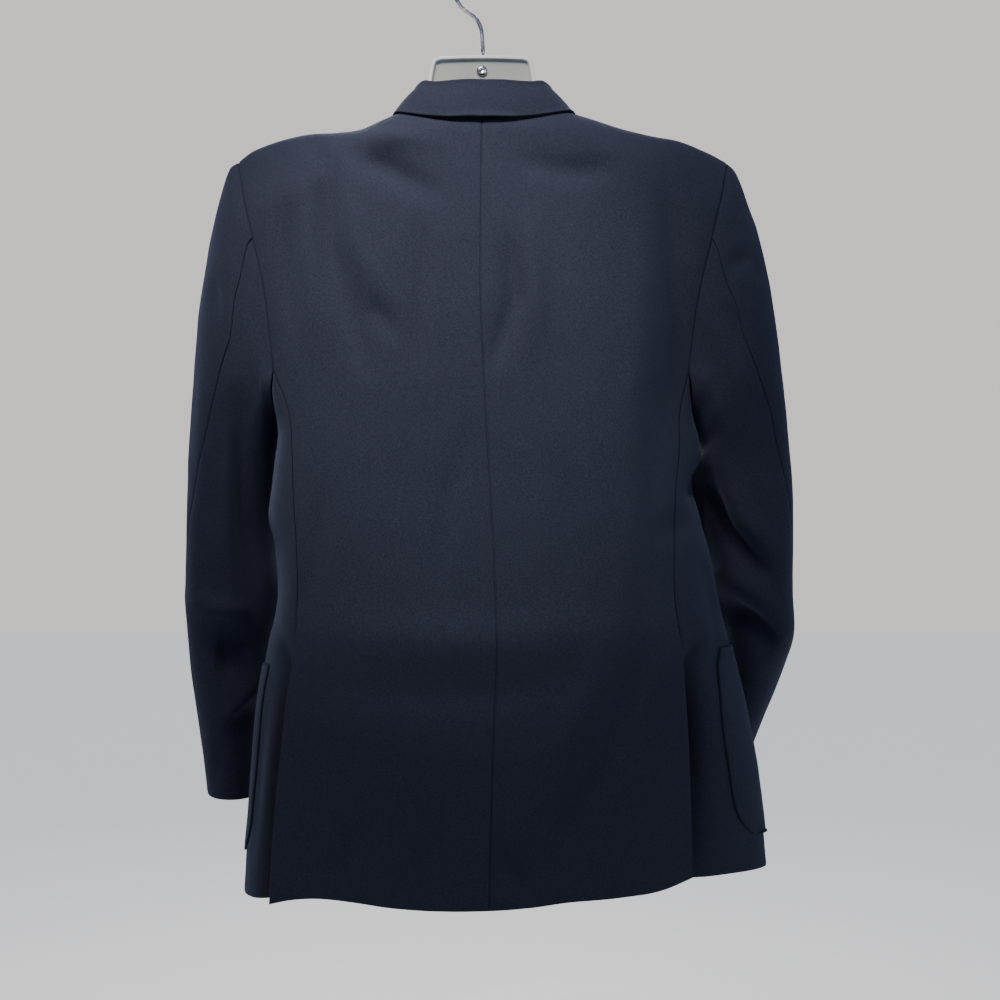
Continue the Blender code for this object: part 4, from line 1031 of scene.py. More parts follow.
class Recipe:
    """A new material with a Principled BSDF."""

    def __init__(self, name, **constants):
        self.material = bpy.data.materials.new(name)
        self.material.use_nodes = True
        self.tree = self.material.node_tree
        self.shader = self.tree.nodes["Principled BSDF"]
        for socket, value in constants.items():
            self.shader.inputs[socket.replace("_", " ")].default_value = value
        self.room = self.node("ShaderNodeTexCoord", output=3)

    def node(self, kind, settings=None, *values, output=0, **named):
        """Makes a node: its settings first, then its sockets' values or links. Gives back one output."""
        made = self.tree.nodes.new(kind)
        for name, value in (settings or {}).items():
            setattr(made, name, value)
        chosen = list(enumerate(values))
        chosen += [(name.replace("_", " "), value) for name, value in named.items()]
        for socket, value in chosen:
            self.fill(made.inputs[socket], value)
        return Sum(self, made.outputs[output])

    def fill(self, socket, value):
        """Links a socket, or sets it."""
        if isinstance(value, Sum):
            self.tree.links.new(value.socket, socket)
        elif value is not None:
            socket.default_value = value

    def mix(self, share, first, second):
        """A colour between two others."""
        made = self.node("ShaderNodeMix", {"data_type": "RGBA"}, output=2)
        for place, value in ((0, share), (6, first), (7, second)):
            value = value if isinstance(value, (Sum, float)) else (*value, 1)
            self.fill(made.socket.node.inputs[place], value)
        return made

    def patches(self, scale, detail, roughness=0.5):
        """Soft random patches, by the place in the room. A larger scale makes smaller ones."""
        chosen = {"Scale": scale, "Detail": detail, "Roughness": roughness}
        return self.node("ShaderNodeTexNoise", None, self.room, **chosen)

    def bump(self, strength, distance, height):
        """A normal that is tilted by this height."""
        return self.node("ShaderNodeBump", None, Strength=strength, Distance=distance, Height=height)

    def finish(self, **sockets):
        """Links what varies over the surface to the shader."""
        for name, value in sockets.items():
            self.fill(self.shader.inputs[name.replace("_", " ")], value)
        return self.material


FINISHES = {}
print("operators of a sum:", [name for name in vars(Sum) if name.strip("_") in ("add", "sub", "mul", "rsub")])

# %% [markdown]
# ## The wool
# The cloth is a fine plain-weave worsted, so dark a navy that it looks nearly black in shade. Close to, each
# thread is a few tenths of a millimetre wide, and the dyed fibres are not all one colour, which gives the
# soft grain. The weave follows the flat cloth (the `cut_place` that each sheet carries), not the room. A
# little sheen stands for the loose fibres that catch light at the edges.

# %% Mix the wool
THREAD = 0.0007


def weave(recipe, place, pitch):
    """The rise and fall of a plain weave, from -1 to 1."""
    across, along = (recipe.node("ShaderNodeSeparateXYZ", None, place, output=axis) for axis in (0, 1))
    return (across * (TURN / pitch)).sine() * (along * (TURN / pitch)).sine()


def wool(name, deep, light):
    """Dark worsted: mottled yarn colour, a fine weave, a soft nap, and painted shade in the seams and beside
    the vents.
    """
    sheen = {"Sheen_Weight": 0.12, "Sheen_Roughness": 0.45, "Sheen_Tint": (0.52, 0.62, 1.0, 1)}
    recipe = Recipe(name, Specular_IOR_Level=0.25, **sheen)
    place = recipe.node("ShaderNodeAttribute", {"attribute_name": "cut_place"}, output=1)
    fibres = recipe.patches(1500.0, 2.0, 0.6)
    yarns = recipe.patches(650.0, 3.0, 0.7)
    cloud = recipe.patches(9.0, 2.0)
    threads = weave(recipe, place, THREAD)
    grain = fibres.between(0.35, 0.68) * 0.40 + yarns.between(0.34, 0.66) * 0.40
    tone = grain + (threads * 0.5 + 0.5) * 0.12 + cloud * 0.12
    # Painted shade: the colour goes towards near black in the seams' grooves and in the recesses beside the
    # vents.
    seam = recipe.node("ShaderNodeAttribute", {"attribute_name": "seam_shade"}, output=2)
    colour = recipe.mix(seam * 0.6, recipe.mix(tone, deep, light), tuple(part * 0.3 for part in deep))
    height = threads * 0.35 + fibres * 0.5 + yarns * 0.6
    bump = recipe.bump(0.35, 0.0004, height)
    return recipe.finish(Base_Color=colour, Roughness=0.86 + cloud * 0.10, Normal=bump)


FINISHES["cloth"] = wool("navy wool", (0.0055, 0.0070, 0.0160), (0.0255, 0.0290, 0.0500))
print("threads to the centimetre:", round(0.01 / THREAD))

# %% [markdown]
# ## Plastic, metal and thread
# The hanger is injection-moulded and off-white, with the faint unevenness of a cooled surface. The hook is
# plated wire and the buttons are plain brass: both are metal that is worn brighter in patches. The
# buttonholes' thread is a little lighter than the wool.

# %% Mix the hard finishes
def moulded(name):
    """Off-white plastic, paler on the raised rim than in the web, where shade is painted into the recess."""
    recipe = Recipe(name, Specular_IOR_Level=0.45)
    flow = recipe.patches(28.0, 3.0)
    skin = recipe.patches(700.0, 1.0)
    # Painted shade: the recessed web, found by its depth in the plate, is coloured darker than the rim.
    deep = recipe.node("ShaderNodeSeparateXYZ", None, recipe.room, output=1)
    rim = (deep * deep).between(0.000018, 0.000040)
    web = recipe.mix(flow, (0.33, 0.34, 0.30), (0.44, 0.45, 0.41))
    colour = recipe.mix(rim, web, (0.70, 0.70, 0.66))
    bump = recipe.bump(0.15, 0.0003, skin + flow * 0.6)
    return recipe.finish(Base_Color=colour, Roughness=0.38 + flow * 0.16, Normal=bump)


def metal(name, dull, bright, rough):
    """A metal that is brighter where it is rubbed."""
    recipe = Recipe(name, Metallic=1.0)
    wear = recipe.patches(160.0, 4.0)
    colour = recipe.mix(wear.between(0.3, 0.7), dull, bright)
    bump = recipe.bump(0.10, 0.0002, recipe.patches(1100.0, 2.0))
    return recipe.finish(Base_Color=colour, Roughness=rough + wear * 0.16, Normal=bump)


def corded(name):
    """Twisted thread, lighter where its turns stand up, as a painted highlight."""
    recipe = Recipe(name, Specular_IOR_Level=0.3)
    turns = recipe.patches(1500.0, 1.0)
    # Painted highlight: the pattern that raises the turns also makes them lighter.
    colour = recipe.mix(turns, (0.006, 0.007, 0.014), (0.034, 0.038, 0.060))
    bump = recipe.bump(0.4, 0.0003, turns)
    return recipe.finish(Base_Color=colour, Roughness=turns * 0.2 + 0.6, Normal=bump)


FINISHES["plastic"] = moulded("moulded hanger plastic")
FINISHES["thread"] = corded("buttonhole thread")
FINISHES["steel"] = metal("plated hook wire", (0.42, 0.42, 0.43), (0.66, 0.66, 0.66), 0.16)
FINISHES["brass"] = metal("satin button brass", (0.40, 0.28, 0.11), (0.64, 0.48, 0.22), 0.24)
print("finishes:", sorted(FINISHES))

# %% [markdown]
# ## Sewing the body together
# The walls of neighbouring panels are cut along one shared direction at their seam, like a mitre, so that
# neither shows a gap or cuts into the other when it turns a corner.

# %% The panels and the sleeves
cloth = {}


def sew(node, grid, normals, wall, vent=None):
    """Makes the sheet that takes the place of this node of the frame."""
    cloth[node] = shell(f"cloth_{node}", grid, normals, wall, vent)
    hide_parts(node)


def meet_armhole(loop_parts, under, top):
    """Cuts the sleeve's and the body's walls alike round the armhole, but not under the arm."""
    for index, sources in loop_parts:
        for normals, shift in ((under, HIND_SEAM), (top, FORE_SEAM)):
            column = (index - shift) % ARMHOLE_POINTS
            if column < normals.shape[1]:
                share_normals(*sources, (normals, (0, column)))


VENT_PLEAT = {LEFT: (0.0080, 0.010), RIGHT: (0.0150, 0.011)}
# How strong and how wide the painted shade is in the recess beside each vent, where the back laps over the
# side body.
VENT_SHADE = 1.5
VENT_SHADE_REACH = 0.0030
VENT_SHADE_MORE = 0.0055
VENT_DEPTH = Table(
    "down left right",
    (0.600, 0.0, 0.0),
    (0.640, 0.0, 0.0),
    (0.680, 0.7, 0.5),
    (0.730, 1.0, 1.0),
    (0.800, 1.0, 0.8),
    (0.860, 1.0, 0.3),
    (0.930, 0.8, 0.1),
)


def beyond_vent(grid, first=0):
    """How far out each point of a side lies from a line beside the back's free edge over it."""
    out = np.abs(grid[..., 0])
    return out - out[:, [first]] - VENT_LAP - 0.004


def side_relief(side, grid, normals):
    """Presses the side body's own folds, which fade before its seams, and its hollow beside the vent."""
    across = np.linspace(0, 1, grid.shape[1])
    fade = np.sin(np.pi * across) ** 0.5
    height = fold_height(SIDE_FOLDS[side], grid[..., 1], -grid[..., 2])
    depth, reach = VENT_PLEAT[side]
    past = beyond_vent(grid)
    deepest = VENT_DEPTH(side_name(side), -grid[..., 2])
    pleat = deepest * depth * np.exp(-((past / reach) ** 2)) * (1 - across**4)
    return grid + normals * (height * fade - pleat)[..., None]


def sew_side(side, back, back_normals):
    """The panels and the sleeve of one side."""
    name = side_name(side)
    front, middle = front_grid(side), side_grid(side)
    middle = side_relief(side, middle, outward(middle, (side, 0, 0)))
    front_normals = outward(front, (0, -1, 0))
    middle_normals = outward(middle, (side, 0, 0))
    loop = armhole_loop(side, back, front, middle)
    (under, under_normals), (top, top_normals) = sleeve_grids(side, loop)
    # At the shoulder, the back's and the front's walls are cut along the same upright plane.
    for normals in (back_normals, front_normals):
        normals[0, :, 1] = 0
        normals[0] /= np.linalg.norm(normals[0], axis=1, keepdims=True)
    # Below the top of the vent the back hangs free of the side body.
    sewn = int((middle[:, 0, 2] > -VENT_TOP + 0.03).sum())
    share_normals(
        (back_normals, np.s_[ARMHOLE_ROWS : ARMHOLE_ROWS + sewn, -1]),
        (middle_normals, np.s_[:sewn, 0]),
    )
    share_normals((front_normals, np.s_[ARMHOLE_ROWS:, -1]), (middle_normals, np.s_[:, -1]))
    loop_parts = [(0, [(back_normals, (0, -1)), (front_normals, (0, -1))])]
    for row in range(1, ARMHOLE_ROWS):
        loop_parts.append((row, [(back_normals, (row, -1))]))
        loop_parts.append((ARMHOLE_POINTS - row, [(front_normals, (row, -1))]))
    meet_armhole(loop_parts, under_normals, top_normals)
    for node, grid, normals in (
        (f"back_{name}", back, back_normals),
        (f"front_{name}", front, front_normals),
        (f"side_{name}", middle, middle_normals),
        (f"sleeve_{name}_under", under, under_normals),
        (f"sleeve_{name}_top", top, top_normals),
    ):
        vent = ((0, -1)[turns_over(grid, normals)], name) if node.startswith("side") else None
        sew(node, grid, normals, WALL, vent)


backs = {side: back_grid(side) for side in (LEFT, RIGHT)}
back_directions = {side: outward(backs[side], (0, 1, 0)) for side in (LEFT, RIGHT)}
share_normals((back_directions[LEFT], np.s_[:, 0]), (back_directions[RIGHT], np.s_[:, 0]))
for side in (LEFT, RIGHT):
    sew_side(side, backs[side], back_directions[side])
print("sewn:", {name: len(piece.data.polygons) for name, piece in cloth.items()})

# %% [markdown]
# ## The collar
# A collar is one strip that stands up at the neck and folds over on itself. Its section is drawn from the
# neck seam up to the fold, round it and down to the free edge, and pushed clear of the shoulders. Sections
# from the centre back to the notches make the whole.

# %% Fold the collar
COLLAR = Table(
    "station base_out base_y base_down fold_out fold_y fold_down edge_out edge_y edge_down",
    (0.00, 0.0000, 0.0355, 0.1595, 0.0000, 0.0345, 0.1262, 0.0000, 0.0490, 0.1670),
    (0.17, 0.0250, 0.0335, 0.1579, 0.0230, 0.0328, 0.1260, 0.0300, 0.0480, 0.1655),
    (0.33, 0.0480, 0.0274, 0.1543, 0.0430, 0.0270, 0.1256, 0.0580, 0.0410, 0.1610),
    (0.46, 0.0640, 0.0180, 0.1502, 0.0538, 0.0162, 0.1212, 0.0780, 0.0270, 0.1550),
    (0.58, 0.0735, 0.0000, 0.1475, 0.0622, 0.0000, 0.1268, 0.0880, 0.0000, 0.1490),
    (0.72, 0.0690, -0.0220, 0.1580, 0.0645, -0.0260, 0.1470, 0.0950, -0.0300, 0.1640),
    (0.86, 0.0630, -0.0430, 0.1800, 0.0595, -0.0510, 0.1740, 0.1020, -0.0560, 0.2030),
    (1.00, 0.0545, -0.0540, 0.2080, 0.0540, -0.0630, 0.2050, 0.0930, -0.0640, 0.2320),
)
COLLAR_WALL = 0.0018
COLLAR_FOLD_RADIUS = 0.0032
COLLAR_CLEARANCE = 0.0016
COLLAR_STEPS = 60
NECK_CLEARANCE = 0.0008


def collar_section(station):
    """One section of the collar, from the neck seam over the fold to the free edge."""
    side = LEFT if station >= 0 else RIGHT
    at = abs(station)
    wider = 0.0 if side == LEFT else 0.0035 * step_between(0.2, 0.6, at)

    def place(part):
        out, y, down = (float(COLLAR(f"{part}_{axis}", at)) for axis in ("out", "y", "down"))
        return np.array([side * (out + (0 if part == "base" else wider)), y, -down])

    base, fold, edge = place("base"), place("fold"), place("edge")
    if base[1] > 0:
        base[2] = NECK_CLEARANCE - neck_down(base[0])
    run = (edge - base) * [1, 1, 0]
    run /= np.linalg.norm(run)
    radius = COLLAR_FOLD_RADIUS
    fold = fold + np.array([0, 0, 0.0008 * noise.noise(Vector((station * 6, 0, 3)))])
    up = np.array([0, 0, radius])
    angles = np.linspace(0, math.pi, 13)
    turn = [fold + run * radius * (1 - math.cos(a)) - up * (1 - math.sin(a)) for a in angles]
    fall = []
    for share in np.linspace(0.1, 0.9, 9):
        rounded = run * 0.002 * math.sin(math.pi * share)
        fall.append(turn[-1] + (edge - turn[-1]) * share + rounded)
    lifted = COLLAR_CLEARANCE * (1 + 0.6 * step_between(0.6, 0.8, at))
    clearance = lifted + 0.0032 * (1 - step_between(0.05, 0.35, at))
    fall = push_out(np.array([*fall, edge]), COLLAR_WALL + clearance)
    stand = [base + (turn[0] - base) * share for share in np.linspace(0, 1, 7)[:-1]]
    return np.array([*stand, *turn, *fall])


def collar_normals(grid):
    """The collar's outer face looks up over its fold."""
    normals = outward(grid, (0, 0, 1))
    return normals * math.copysign(1, normals[len(grid) // 2, 12, 2])


half = np.linspace(0, 1, COLLAR_STEPS + 1)
folded = np.array([collar_section(station) for station in (*-half[:0:-1], *half)])
sew("collar", folded, collar_normals(folded), COLLAR_WALL)
print("collar sections:", len(folded))

# %% [markdown]
# ## Lapels
# A lapel is the front's own edge turned back. It is built as a sheet on the front, from the roll line out to
# the notch, a little fuller in the middle because the roll is never pressed flat.

# %% Turn the lapels back
LAPEL = Table(
    "along out down",
    (0.00, 0.1250, 0.2600),
    (0.25, 0.1180, 0.3300),
    (0.50, 0.0930, 0.4080),
    (0.75, 0.0530, 0.4850),
    (1.00, -0.0050, 0.5560),
)
LAPEL_TOP = 0.2110
LAPEL_WALL = 0.0022


def lapel_grid(side):
    """A lapel, from its roll line out to its free edge, lying on its front."""
    along = np.linspace(0, 1, 90)[:, None]
    across = np.linspace(0, 1, 30)[None, :]
    fold_down = LAPEL_TOP + (BREAK_DOWN - 0.006 - LAPEL_TOP) * along
    fold_out = side * FRONT_CENTRE - FRONT_EDGE("from_centre", fold_down) + 0.0006
    out = fold_out * (1 - across) + (LAPEL("out", along) + side * FRONT_CENTRE) * across
    down = fold_down * (1 - across) + LAPEL("down", along) * across
    lift = LAPEL_WALL + 0.0006 + 0.0020 * np.sin(np.pi * across) * (1 - along)
    return points(side * out, front_face(side, side * out, down) - lift, down)


for side in (LEFT, RIGHT):
    turned_back = lapel_grid(side)
    sew(f"lapel_{side_name(side)}", turned_back, outward(turned_back, (0, -1, 0)), LAPEL_WALL)
print("lapel rows:", len(turned_back))

# %% [markdown]
# ## Patch pockets
# Each pocket is a patch that wraps from the front round the side seam, so that its rear edge shows from
# behind. It is cut from the panels' own surface and moved out by its wall, so it bends with them.

# %% Lay the pockets on the skirt
POCKET_TOP = {LEFT: 0.692, RIGHT: 0.676}
POCKET_BOTTOM = {LEFT: 0.885, RIGHT: 0.870}
POCKET_WIDTH = 0.168
POCKET_CORNER = 0.040
POCKET_WALL = 0.0015
POCKET_REAR = 0.064
POCKET_LEAN = {LEFT: 0.006, RIGHT: 0.014}
POCKET_LIFT = {LEFT: 0.0008, RIGHT: 0.0012}
POCKET_ROWS = 50
POCKET_SIDE_COLUMNS = 26
POCKET_FRONT_COLUMNS = 22


def pocket_grid(side):
    """A pocket: rows along the side body and the front below its mouth, moved out by its wall."""
    over_side = side_grid(side)
    over_side = side_relief(side, over_side, outward(over_side, (side, 0, 0)))
    over_front = front_grid(side)[ARMHOLE_ROWS:, ::-1]
    skirt = np.concatenate([over_side, over_front[:, 1:]], axis=1)
    heights = -skirt[:, SIDE_COLUMNS - 1, 2]
    rows = []
    for share in 1 - (1 - np.linspace(0, 1, POCKET_ROWS)) ** 1.5:
        down = POCKET_TOP[side] + (POCKET_BOTTOM[side] - POCKET_TOP[side]) * share
        row = np.interp(down, heights, np.arange(len(heights)))
        low = min(int(row), len(heights) - 2)
        section = skirt[low] + (skirt[low + 1] - skirt[low]) * (row - low)
        steps = np.linalg.norm(np.diff(section, axis=0), axis=1)
        along = np.concatenate([[0], np.cumsum(steps)])
        into_corner = max(0.0, down - (POCKET_BOTTOM[side] - POCKET_CORNER))
        cut = POCKET_CORNER - math.sqrt(max(POCKET_CORNER**2 - into_corner**2, 0))
        rear, seam = POCKET_REAR + POCKET_LEAN[side] * math.sqrt(share), along[SIDE_COLUMNS - 1]
        start, end = rear + cut, rear + POCKET_WIDTH - cut
        places = np.linspace(start, seam, POCKET_SIDE_COLUMNS)[:-1]
        places = np.concatenate([places, np.linspace(seam, end, POCKET_FRONT_COLUMNS)])
        rows.append([[np.interp(place, along, section[:, axis]) for axis in range(3)] for place in places])
    grid = np.array(rows)
    return grid + pocket_normals(side, grid) * (POCKET_WALL + POCKET_LIFT[side])


def pocket_normals(side, grid):
    """The pocket bends round the side seam, so its two parts' normals are found alone and shared there."""
    rear = outward(grid[:, :POCKET_SIDE_COLUMNS], (side, 0, 0))
    fore = outward(grid[:, POCKET_SIDE_COLUMNS - 1 :], (0, -1, 0))
    share_normals((rear, np.s_[:, -1]), (fore, np.s_[:, 0]))
    return np.concatenate([rear, fore[:, 1:]], axis=1)


for side in (LEFT, RIGHT):
    patch = pocket_grid(side)
    sew(f"pocket_{side_name(side)}", patch, pocket_normals(side, patch), POCKET_WALL)
print("pocket size:", POCKET_WIDTH, "by", round(POCKET_BOTTOM[LEFT] - POCKET_TOP[LEFT], 3), "m")

# %% [markdown]
# ## Buttons
# The front closes with plain domed metal buttons. Each is a turned form: a flat back, a rolled rim and a
# crowned face. The photograph shows only the back of the jacket, so they are kept simple.

# %% Turn the buttons
BUTTON_DOWNS = {"button_upper": 0.580, "button_lower": 0.690}
BUTTON_RADIUS = 0.0100
BUTTON_HEIGHT = 0.0034
BUTTON_PROFILE = (
    (0.86, 0.00),
    (0.95, 0.08),
    (1.00, 0.25),
    (1.00, 0.42),
    (0.96, 0.55),
    (0.90, 0.60),
    (0.86, 0.56),
    (0.82, 0.62),
    (0.70, 0.80),
    (0.52, 0.92),
    (0.30, 0.98),
    (0.12, 1.00),
)


def ring_faces(rings, sides):
    """The faces between rings of points, one after another, with a cap at both ends."""
    faces = []
    for low in range(0, (rings - 1) * sides, sides):
        for here in range(sides):
            there = (here + 1) % sides
            faces.append([low + here, low + there, low + sides + there, low + sides + here])
    faces.append(list(range(sides))[::-1])
    faces.append(list(range((rings - 1) * sides, rings * sides)))
    return faces


def turned(rings, sides):
    """A form turned about +Z from (radius, height) rings, closed at both ends."""
    angles = np.linspace(0, TURN, sides, endpoint=False)
    vertices = [(r * math.cos(a), r * math.sin(a), h) for r, h in rings for a in angles]
    return np.array(vertices), ring_faces(len(rings), sides)


for name, down in BUTTON_DOWNS.items():
    rings = [(BUTTON_RADIUS * r, BUTTON_HEIGHT * h) for r, h in BUTTON_PROFILE]
    vertices, faces = turned(rings, 48)
    step = 0.004
    here, there = [float(front_face(LEFT, FRONT_CENTRE, down + move)) for move in (-step, step)]
    tilt = math.atan2(there - here, 2 * step)
    facing = Vector((0, -math.cos(tilt), -math.sin(tilt)))
    spin = np.array(Vector((0, 0, 1)).rotation_difference(facing).to_matrix())
    seat = np.array([FRONT_CENTRE, (here + there) / 2, -down]) + spin @ np.array([0, 0, 0.0010])
    button = dressed(f"{name}_metal", vertices @ spin.T + seat, faces, "brass")
    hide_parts(name)
print("buttons:", len(BUTTON_DOWNS))

# %% [markdown]
# ## Buttonholes
# A buttonhole is a slit whose two edges are bound with thread. Both fronts' holes lie under their buttons, so
# only the inner end of each shows, and the left lapel has one more by custom. Each is one closed round of
# cord laid on the cloth's own face, so it bends with it.

# %% Bind the buttonholes
HOLE_HALF = (0.0110, 0.0012)
CORD_RADIUS = 0.00055
CORD_LIFT = 0.0003


def wire(path, sides):
    """A round wire swept along (place, radius) pairs, closed at both ends."""
    angles = np.linspace(0, TURN, sides, endpoint=False)
    vertices = []
    for k, (place, radius) in enumerate(path):
        along = (path[min(k + 1, len(path) - 1)][0] - path[max(k - 1, 0)][0]).normalized()
        across = Vector((0, 1, 0))
        up = along.cross(across)
        vertices += [place + radius * (math.cos(a) * across + math.sin(a) * up) for a in angles]
    return vertices, ring_faces(len(path), sides)


def buttonhole(name, face, middle, slope):
    """One round of cord about a slit, at (x, down) places on this face."""
    path = []
    for a in np.linspace(0, TURN * 0.995, 72):
        along = HOLE_HALF[0] * math.cos(a)
        across = HOLE_HALF[1] * math.copysign(abs(math.sin(a)) ** 0.5, math.sin(a))
        x = middle[0] + along * math.cos(slope) - across * math.sin(slope)
        down = middle[1] + along * math.sin(slope) + across * math.cos(slope)
        path.append((Vector((x, face(x, down), -down)), CORD_RADIUS))
    return dressed(name, *wire(path, 8), "thread")


def on_front(x, down):
    """Just off the left front's face here."""
    return float(front_face(LEFT, x, down)) - CORD_LIFT


leaf = lapel_grid(LEFT)


def on_lapel(x, down):
    """The lapel's face here, from the four grid points nearest to it."""
    away = np.hypot(leaf[..., 0] - x, leaf[..., 2] + down).ravel()
    near = np.argsort(away)[:4]
    weights = 1 / (away[near] + 0.0002)
    return float((leaf.reshape(-1, 3)[near, 1] * weights).sum() / weights.sum()) - CORD_LIFT


for name, down in BUTTON_DOWNS.items():
    buttonhole(f"{name}_hole", on_front, (FRONT_CENTRE + 0.0090, down), 0.0)
rows, columns = leaf.shape[:2]
hole_at = leaf[round(rows * 0.13), round(columns * 0.72)]
edge_run = leaf[round(rows * 0.10), -1] - leaf[round(rows * 0.10), 0]
buttonhole("lapel_hole", on_lapel, (hole_at[0], -hole_at[2]), math.atan2(-edge_run[2], edge_run[0]))
print("buttonholes:", len(BUTTON_DOWNS) + 1)

# %% [markdown]
# ## The hanger
# The plate and arms are one moulding, with a raised rim round a thinner web. It is drawn again here, so that
# the rim has a sloped inner wall and every edge the small radius that a mould leaves. The arms lie under the
# shoulders. The hook is a bent wire, and a rivet holds it in the plate.

# %% Mould the plate and its arms
PLATE_TOP = 0.0925
PLATE_THICK = 0.014
PLATE_SIDE = ((0.0400, 0.0935), (0.0470, 0.0955), (0.0495, 0.1010), (0.0523, 0.1170), (0.0560, 0.1300))
ARM_TIP = 0.2200
ARM_DEPTH = 0.030
RIVET_DOWN = 0.1070
PLATE_RIM = 0.0030
RIM_SLOPE = 0.0016
WEB_RECESS = 0.0032


def arm_top(side, out):
    """How far down the top of an arm is, so that its flat top just clears the walls that meet above it."""
    over = float(ridge(side * out))
    first_drop = (ARMHOLE_END - over) / ARMHOLE_ROWS**1.8
    reach = min(abs(float(face(side * out, over + first_drop))) for face in (back_y, front_y))
    return over + first_drop * (PLATE_THICK / 2 + WALL) / reach + WALL + SEAM_GAP


def hanger_outline(side):
    """One half of the hanger's outline, from the top of the plate to the middle of its underside."""
    top = [(0.0, PLATE_TOP), (0.020, PLATE_TOP + 0.0002), *PLATE_SIDE]
    outs = np.linspace(0.080, ARM_TIP - 0.006, 8)
    arm = [(0.0605, 0.1460), (0.0680, 0.1530)] + [(out, arm_top(side, out) + 0.0002) for out in outs]
    end = arm[-1][1]
    tip = [(ARM_TIP, end + 0.009), (ARM_TIP, end + 0.020), (ARM_TIP - 0.008, end + 0.028)]
    under = []
    for out in np.linspace(ARM_TIP - 0.030, 0.060, 7):
        under.append((out, arm_top(side, max(out, 0.080)) + ARM_DEPTH))
    middle = [(0.035, 0.1860), (0.0, 0.1830)]
    return [(side * out, down) for out, down in top + arm + tip + under + middle]


def moulding():
    """The plate and its arms, with the rims set in from the outline and the webs pressed in from those."""
    outline = hanger_outline(LEFT) + hanger_outline(RIGHT)[-2:0:-1]
    half = PLATE_THICK / 2
    mesh = bmesh.new()
    face = mesh.faces.new([mesh.verts.new((x, -half, -down)) for x, down in outline])
    made = bmesh.ops.extrude_face_region(mesh, geom=[face])
    moved = [part for part in made["geom"] if isinstance(part, bmesh.types.BMVert)]
    bmesh.ops.translate(mesh, verts=moved, vec=(0, PLATE_THICK, 0))
    bmesh.ops.recalc_face_normals(mesh, faces=mesh.faces)
    for flat in [part for part in mesh.faces if len(part.verts) > 4]:
        bmesh.ops.inset_region(mesh, faces=[flat], thickness=PLATE_RIM, use_even_offset=True)
        bmesh.ops.inset_region(mesh, faces=[flat], thickness=RIM_SLOPE, use_even_offset=True)
        bmesh.ops.translate(mesh, verts=flat.verts, vec=-flat.normal * WEB_RECESS)
    vertices, faces = in_order(mesh)
    mesh.free()
    return vertices, faces


def in_order(mesh):
    """The mesh's vertices and faces, sorted by their places, so that each run gives the same ones."""
    corners = sorted(mesh.verts, key=lambda vertex: [round(value, 6) for value in vertex.co])
    number = {corner: index for index, corner in enumerate(corners)}
    faces = []
    for part in mesh.faces:
        ring = [number[corner] for corner in part.verts]
        start = ring.index(min(ring))
        faces.append(ring[start:] + ring[:start])
    return [tuple(corner.co) for corner in corners], sorted(faces)


hanger = dressed("hanger_moulding", *moulding(), "plastic")
softer = hanger.modifiers.new("moulded edges", "BEVEL")
softer.width = 0.0007
softer.segments = 3
softer.limit_method = "ANGLE"
softer.angle_limit = math.radians(40)
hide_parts("hanger")
print("plastic parts:", hanger.name, "with", len(hanger.data.polygons), "faces")

# %% Bend the hook and set the rivet
LOOP_RADIUS = 0.0270
WIRE_RADIUS = 0.0020
SHANK = (
    (-0.0010, PLATE_TOP - 0.0006, 0.0013),
    (-0.0010, 0.0885, 0.0014),
    (-0.0009, 0.0870, WIRE_RADIUS),
    (-0.0003, 0.0760, WIRE_RADIUS),
    (0.0006, 0.0660, WIRE_RADIUS),
    (0.0032, 0.0585, WIRE_RADIUS),
    (0.0068, 0.0535, WIRE_RADIUS),
)


def hook_path():
    """The wire's centre line with its radius: a thin shank, a bend outwards and the open loop."""
    centre = Vector((0, 0, -(LOOP_RADIUS - WIRE_RADIUS)))
    path = [(Vector((x, 0, -down)), radius) for x, down, radius in SHANK]
    for degrees in range(-64, 206, 15):
        turn = math.radians(degrees)
        path.append((centre + LOOP_RADIUS * Vector((math.cos(turn), 0, math.sin(turn))), WIRE_RADIUS))
    return path


def smoother(path, steps):
    """The same path with more places between its own."""
    keys = np.arange(len(path), dtype=float)
    values = np.array([[*place, radius] for place, radius in path])
    at = np.linspace(0, len(path) - 1, steps)
    fine = np.stack([smooth(keys, values[:, column], at) for column in range(4)], axis=-1)
    return [(Vector(row[:3]), float(row[3])) for row in fine]


hook = dressed("hook_wire", *wire(smoother(hook_path(), 150), 24), "steel")
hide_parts("hanger_hook")
RIVET_RINGS = (
    (0.0052, 0.0000),
    (0.0053, 0.0006),
    (0.0050, 0.0013),
    (0.0042, 0.0020),
    (0.0033, 0.0025),
    (0.0026, 0.0027),
    (0.0021, 0.0024),
    (0.0014, 0.0021),
    (0.0005, 0.0020),
)
vertices, faces = turned(RIVET_RINGS, 40)
seated = np.stack([vertices[:, 0], vertices[:, 2], -vertices[:, 1]], axis=-1)
seated = seated + [0, PLATE_THICK / 2 - WEB_RECESS + SEAM_GAP, -RIVET_DOWN]
rivet = dressed("rivet_head", seated, faces, "steel")
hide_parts("hanger_rivet")
bends = [place for place, _ in hook_path()]
print("hook length:", round(sum((b - a).length for a, b in zip(bends, bends[1:])), 3), "m")
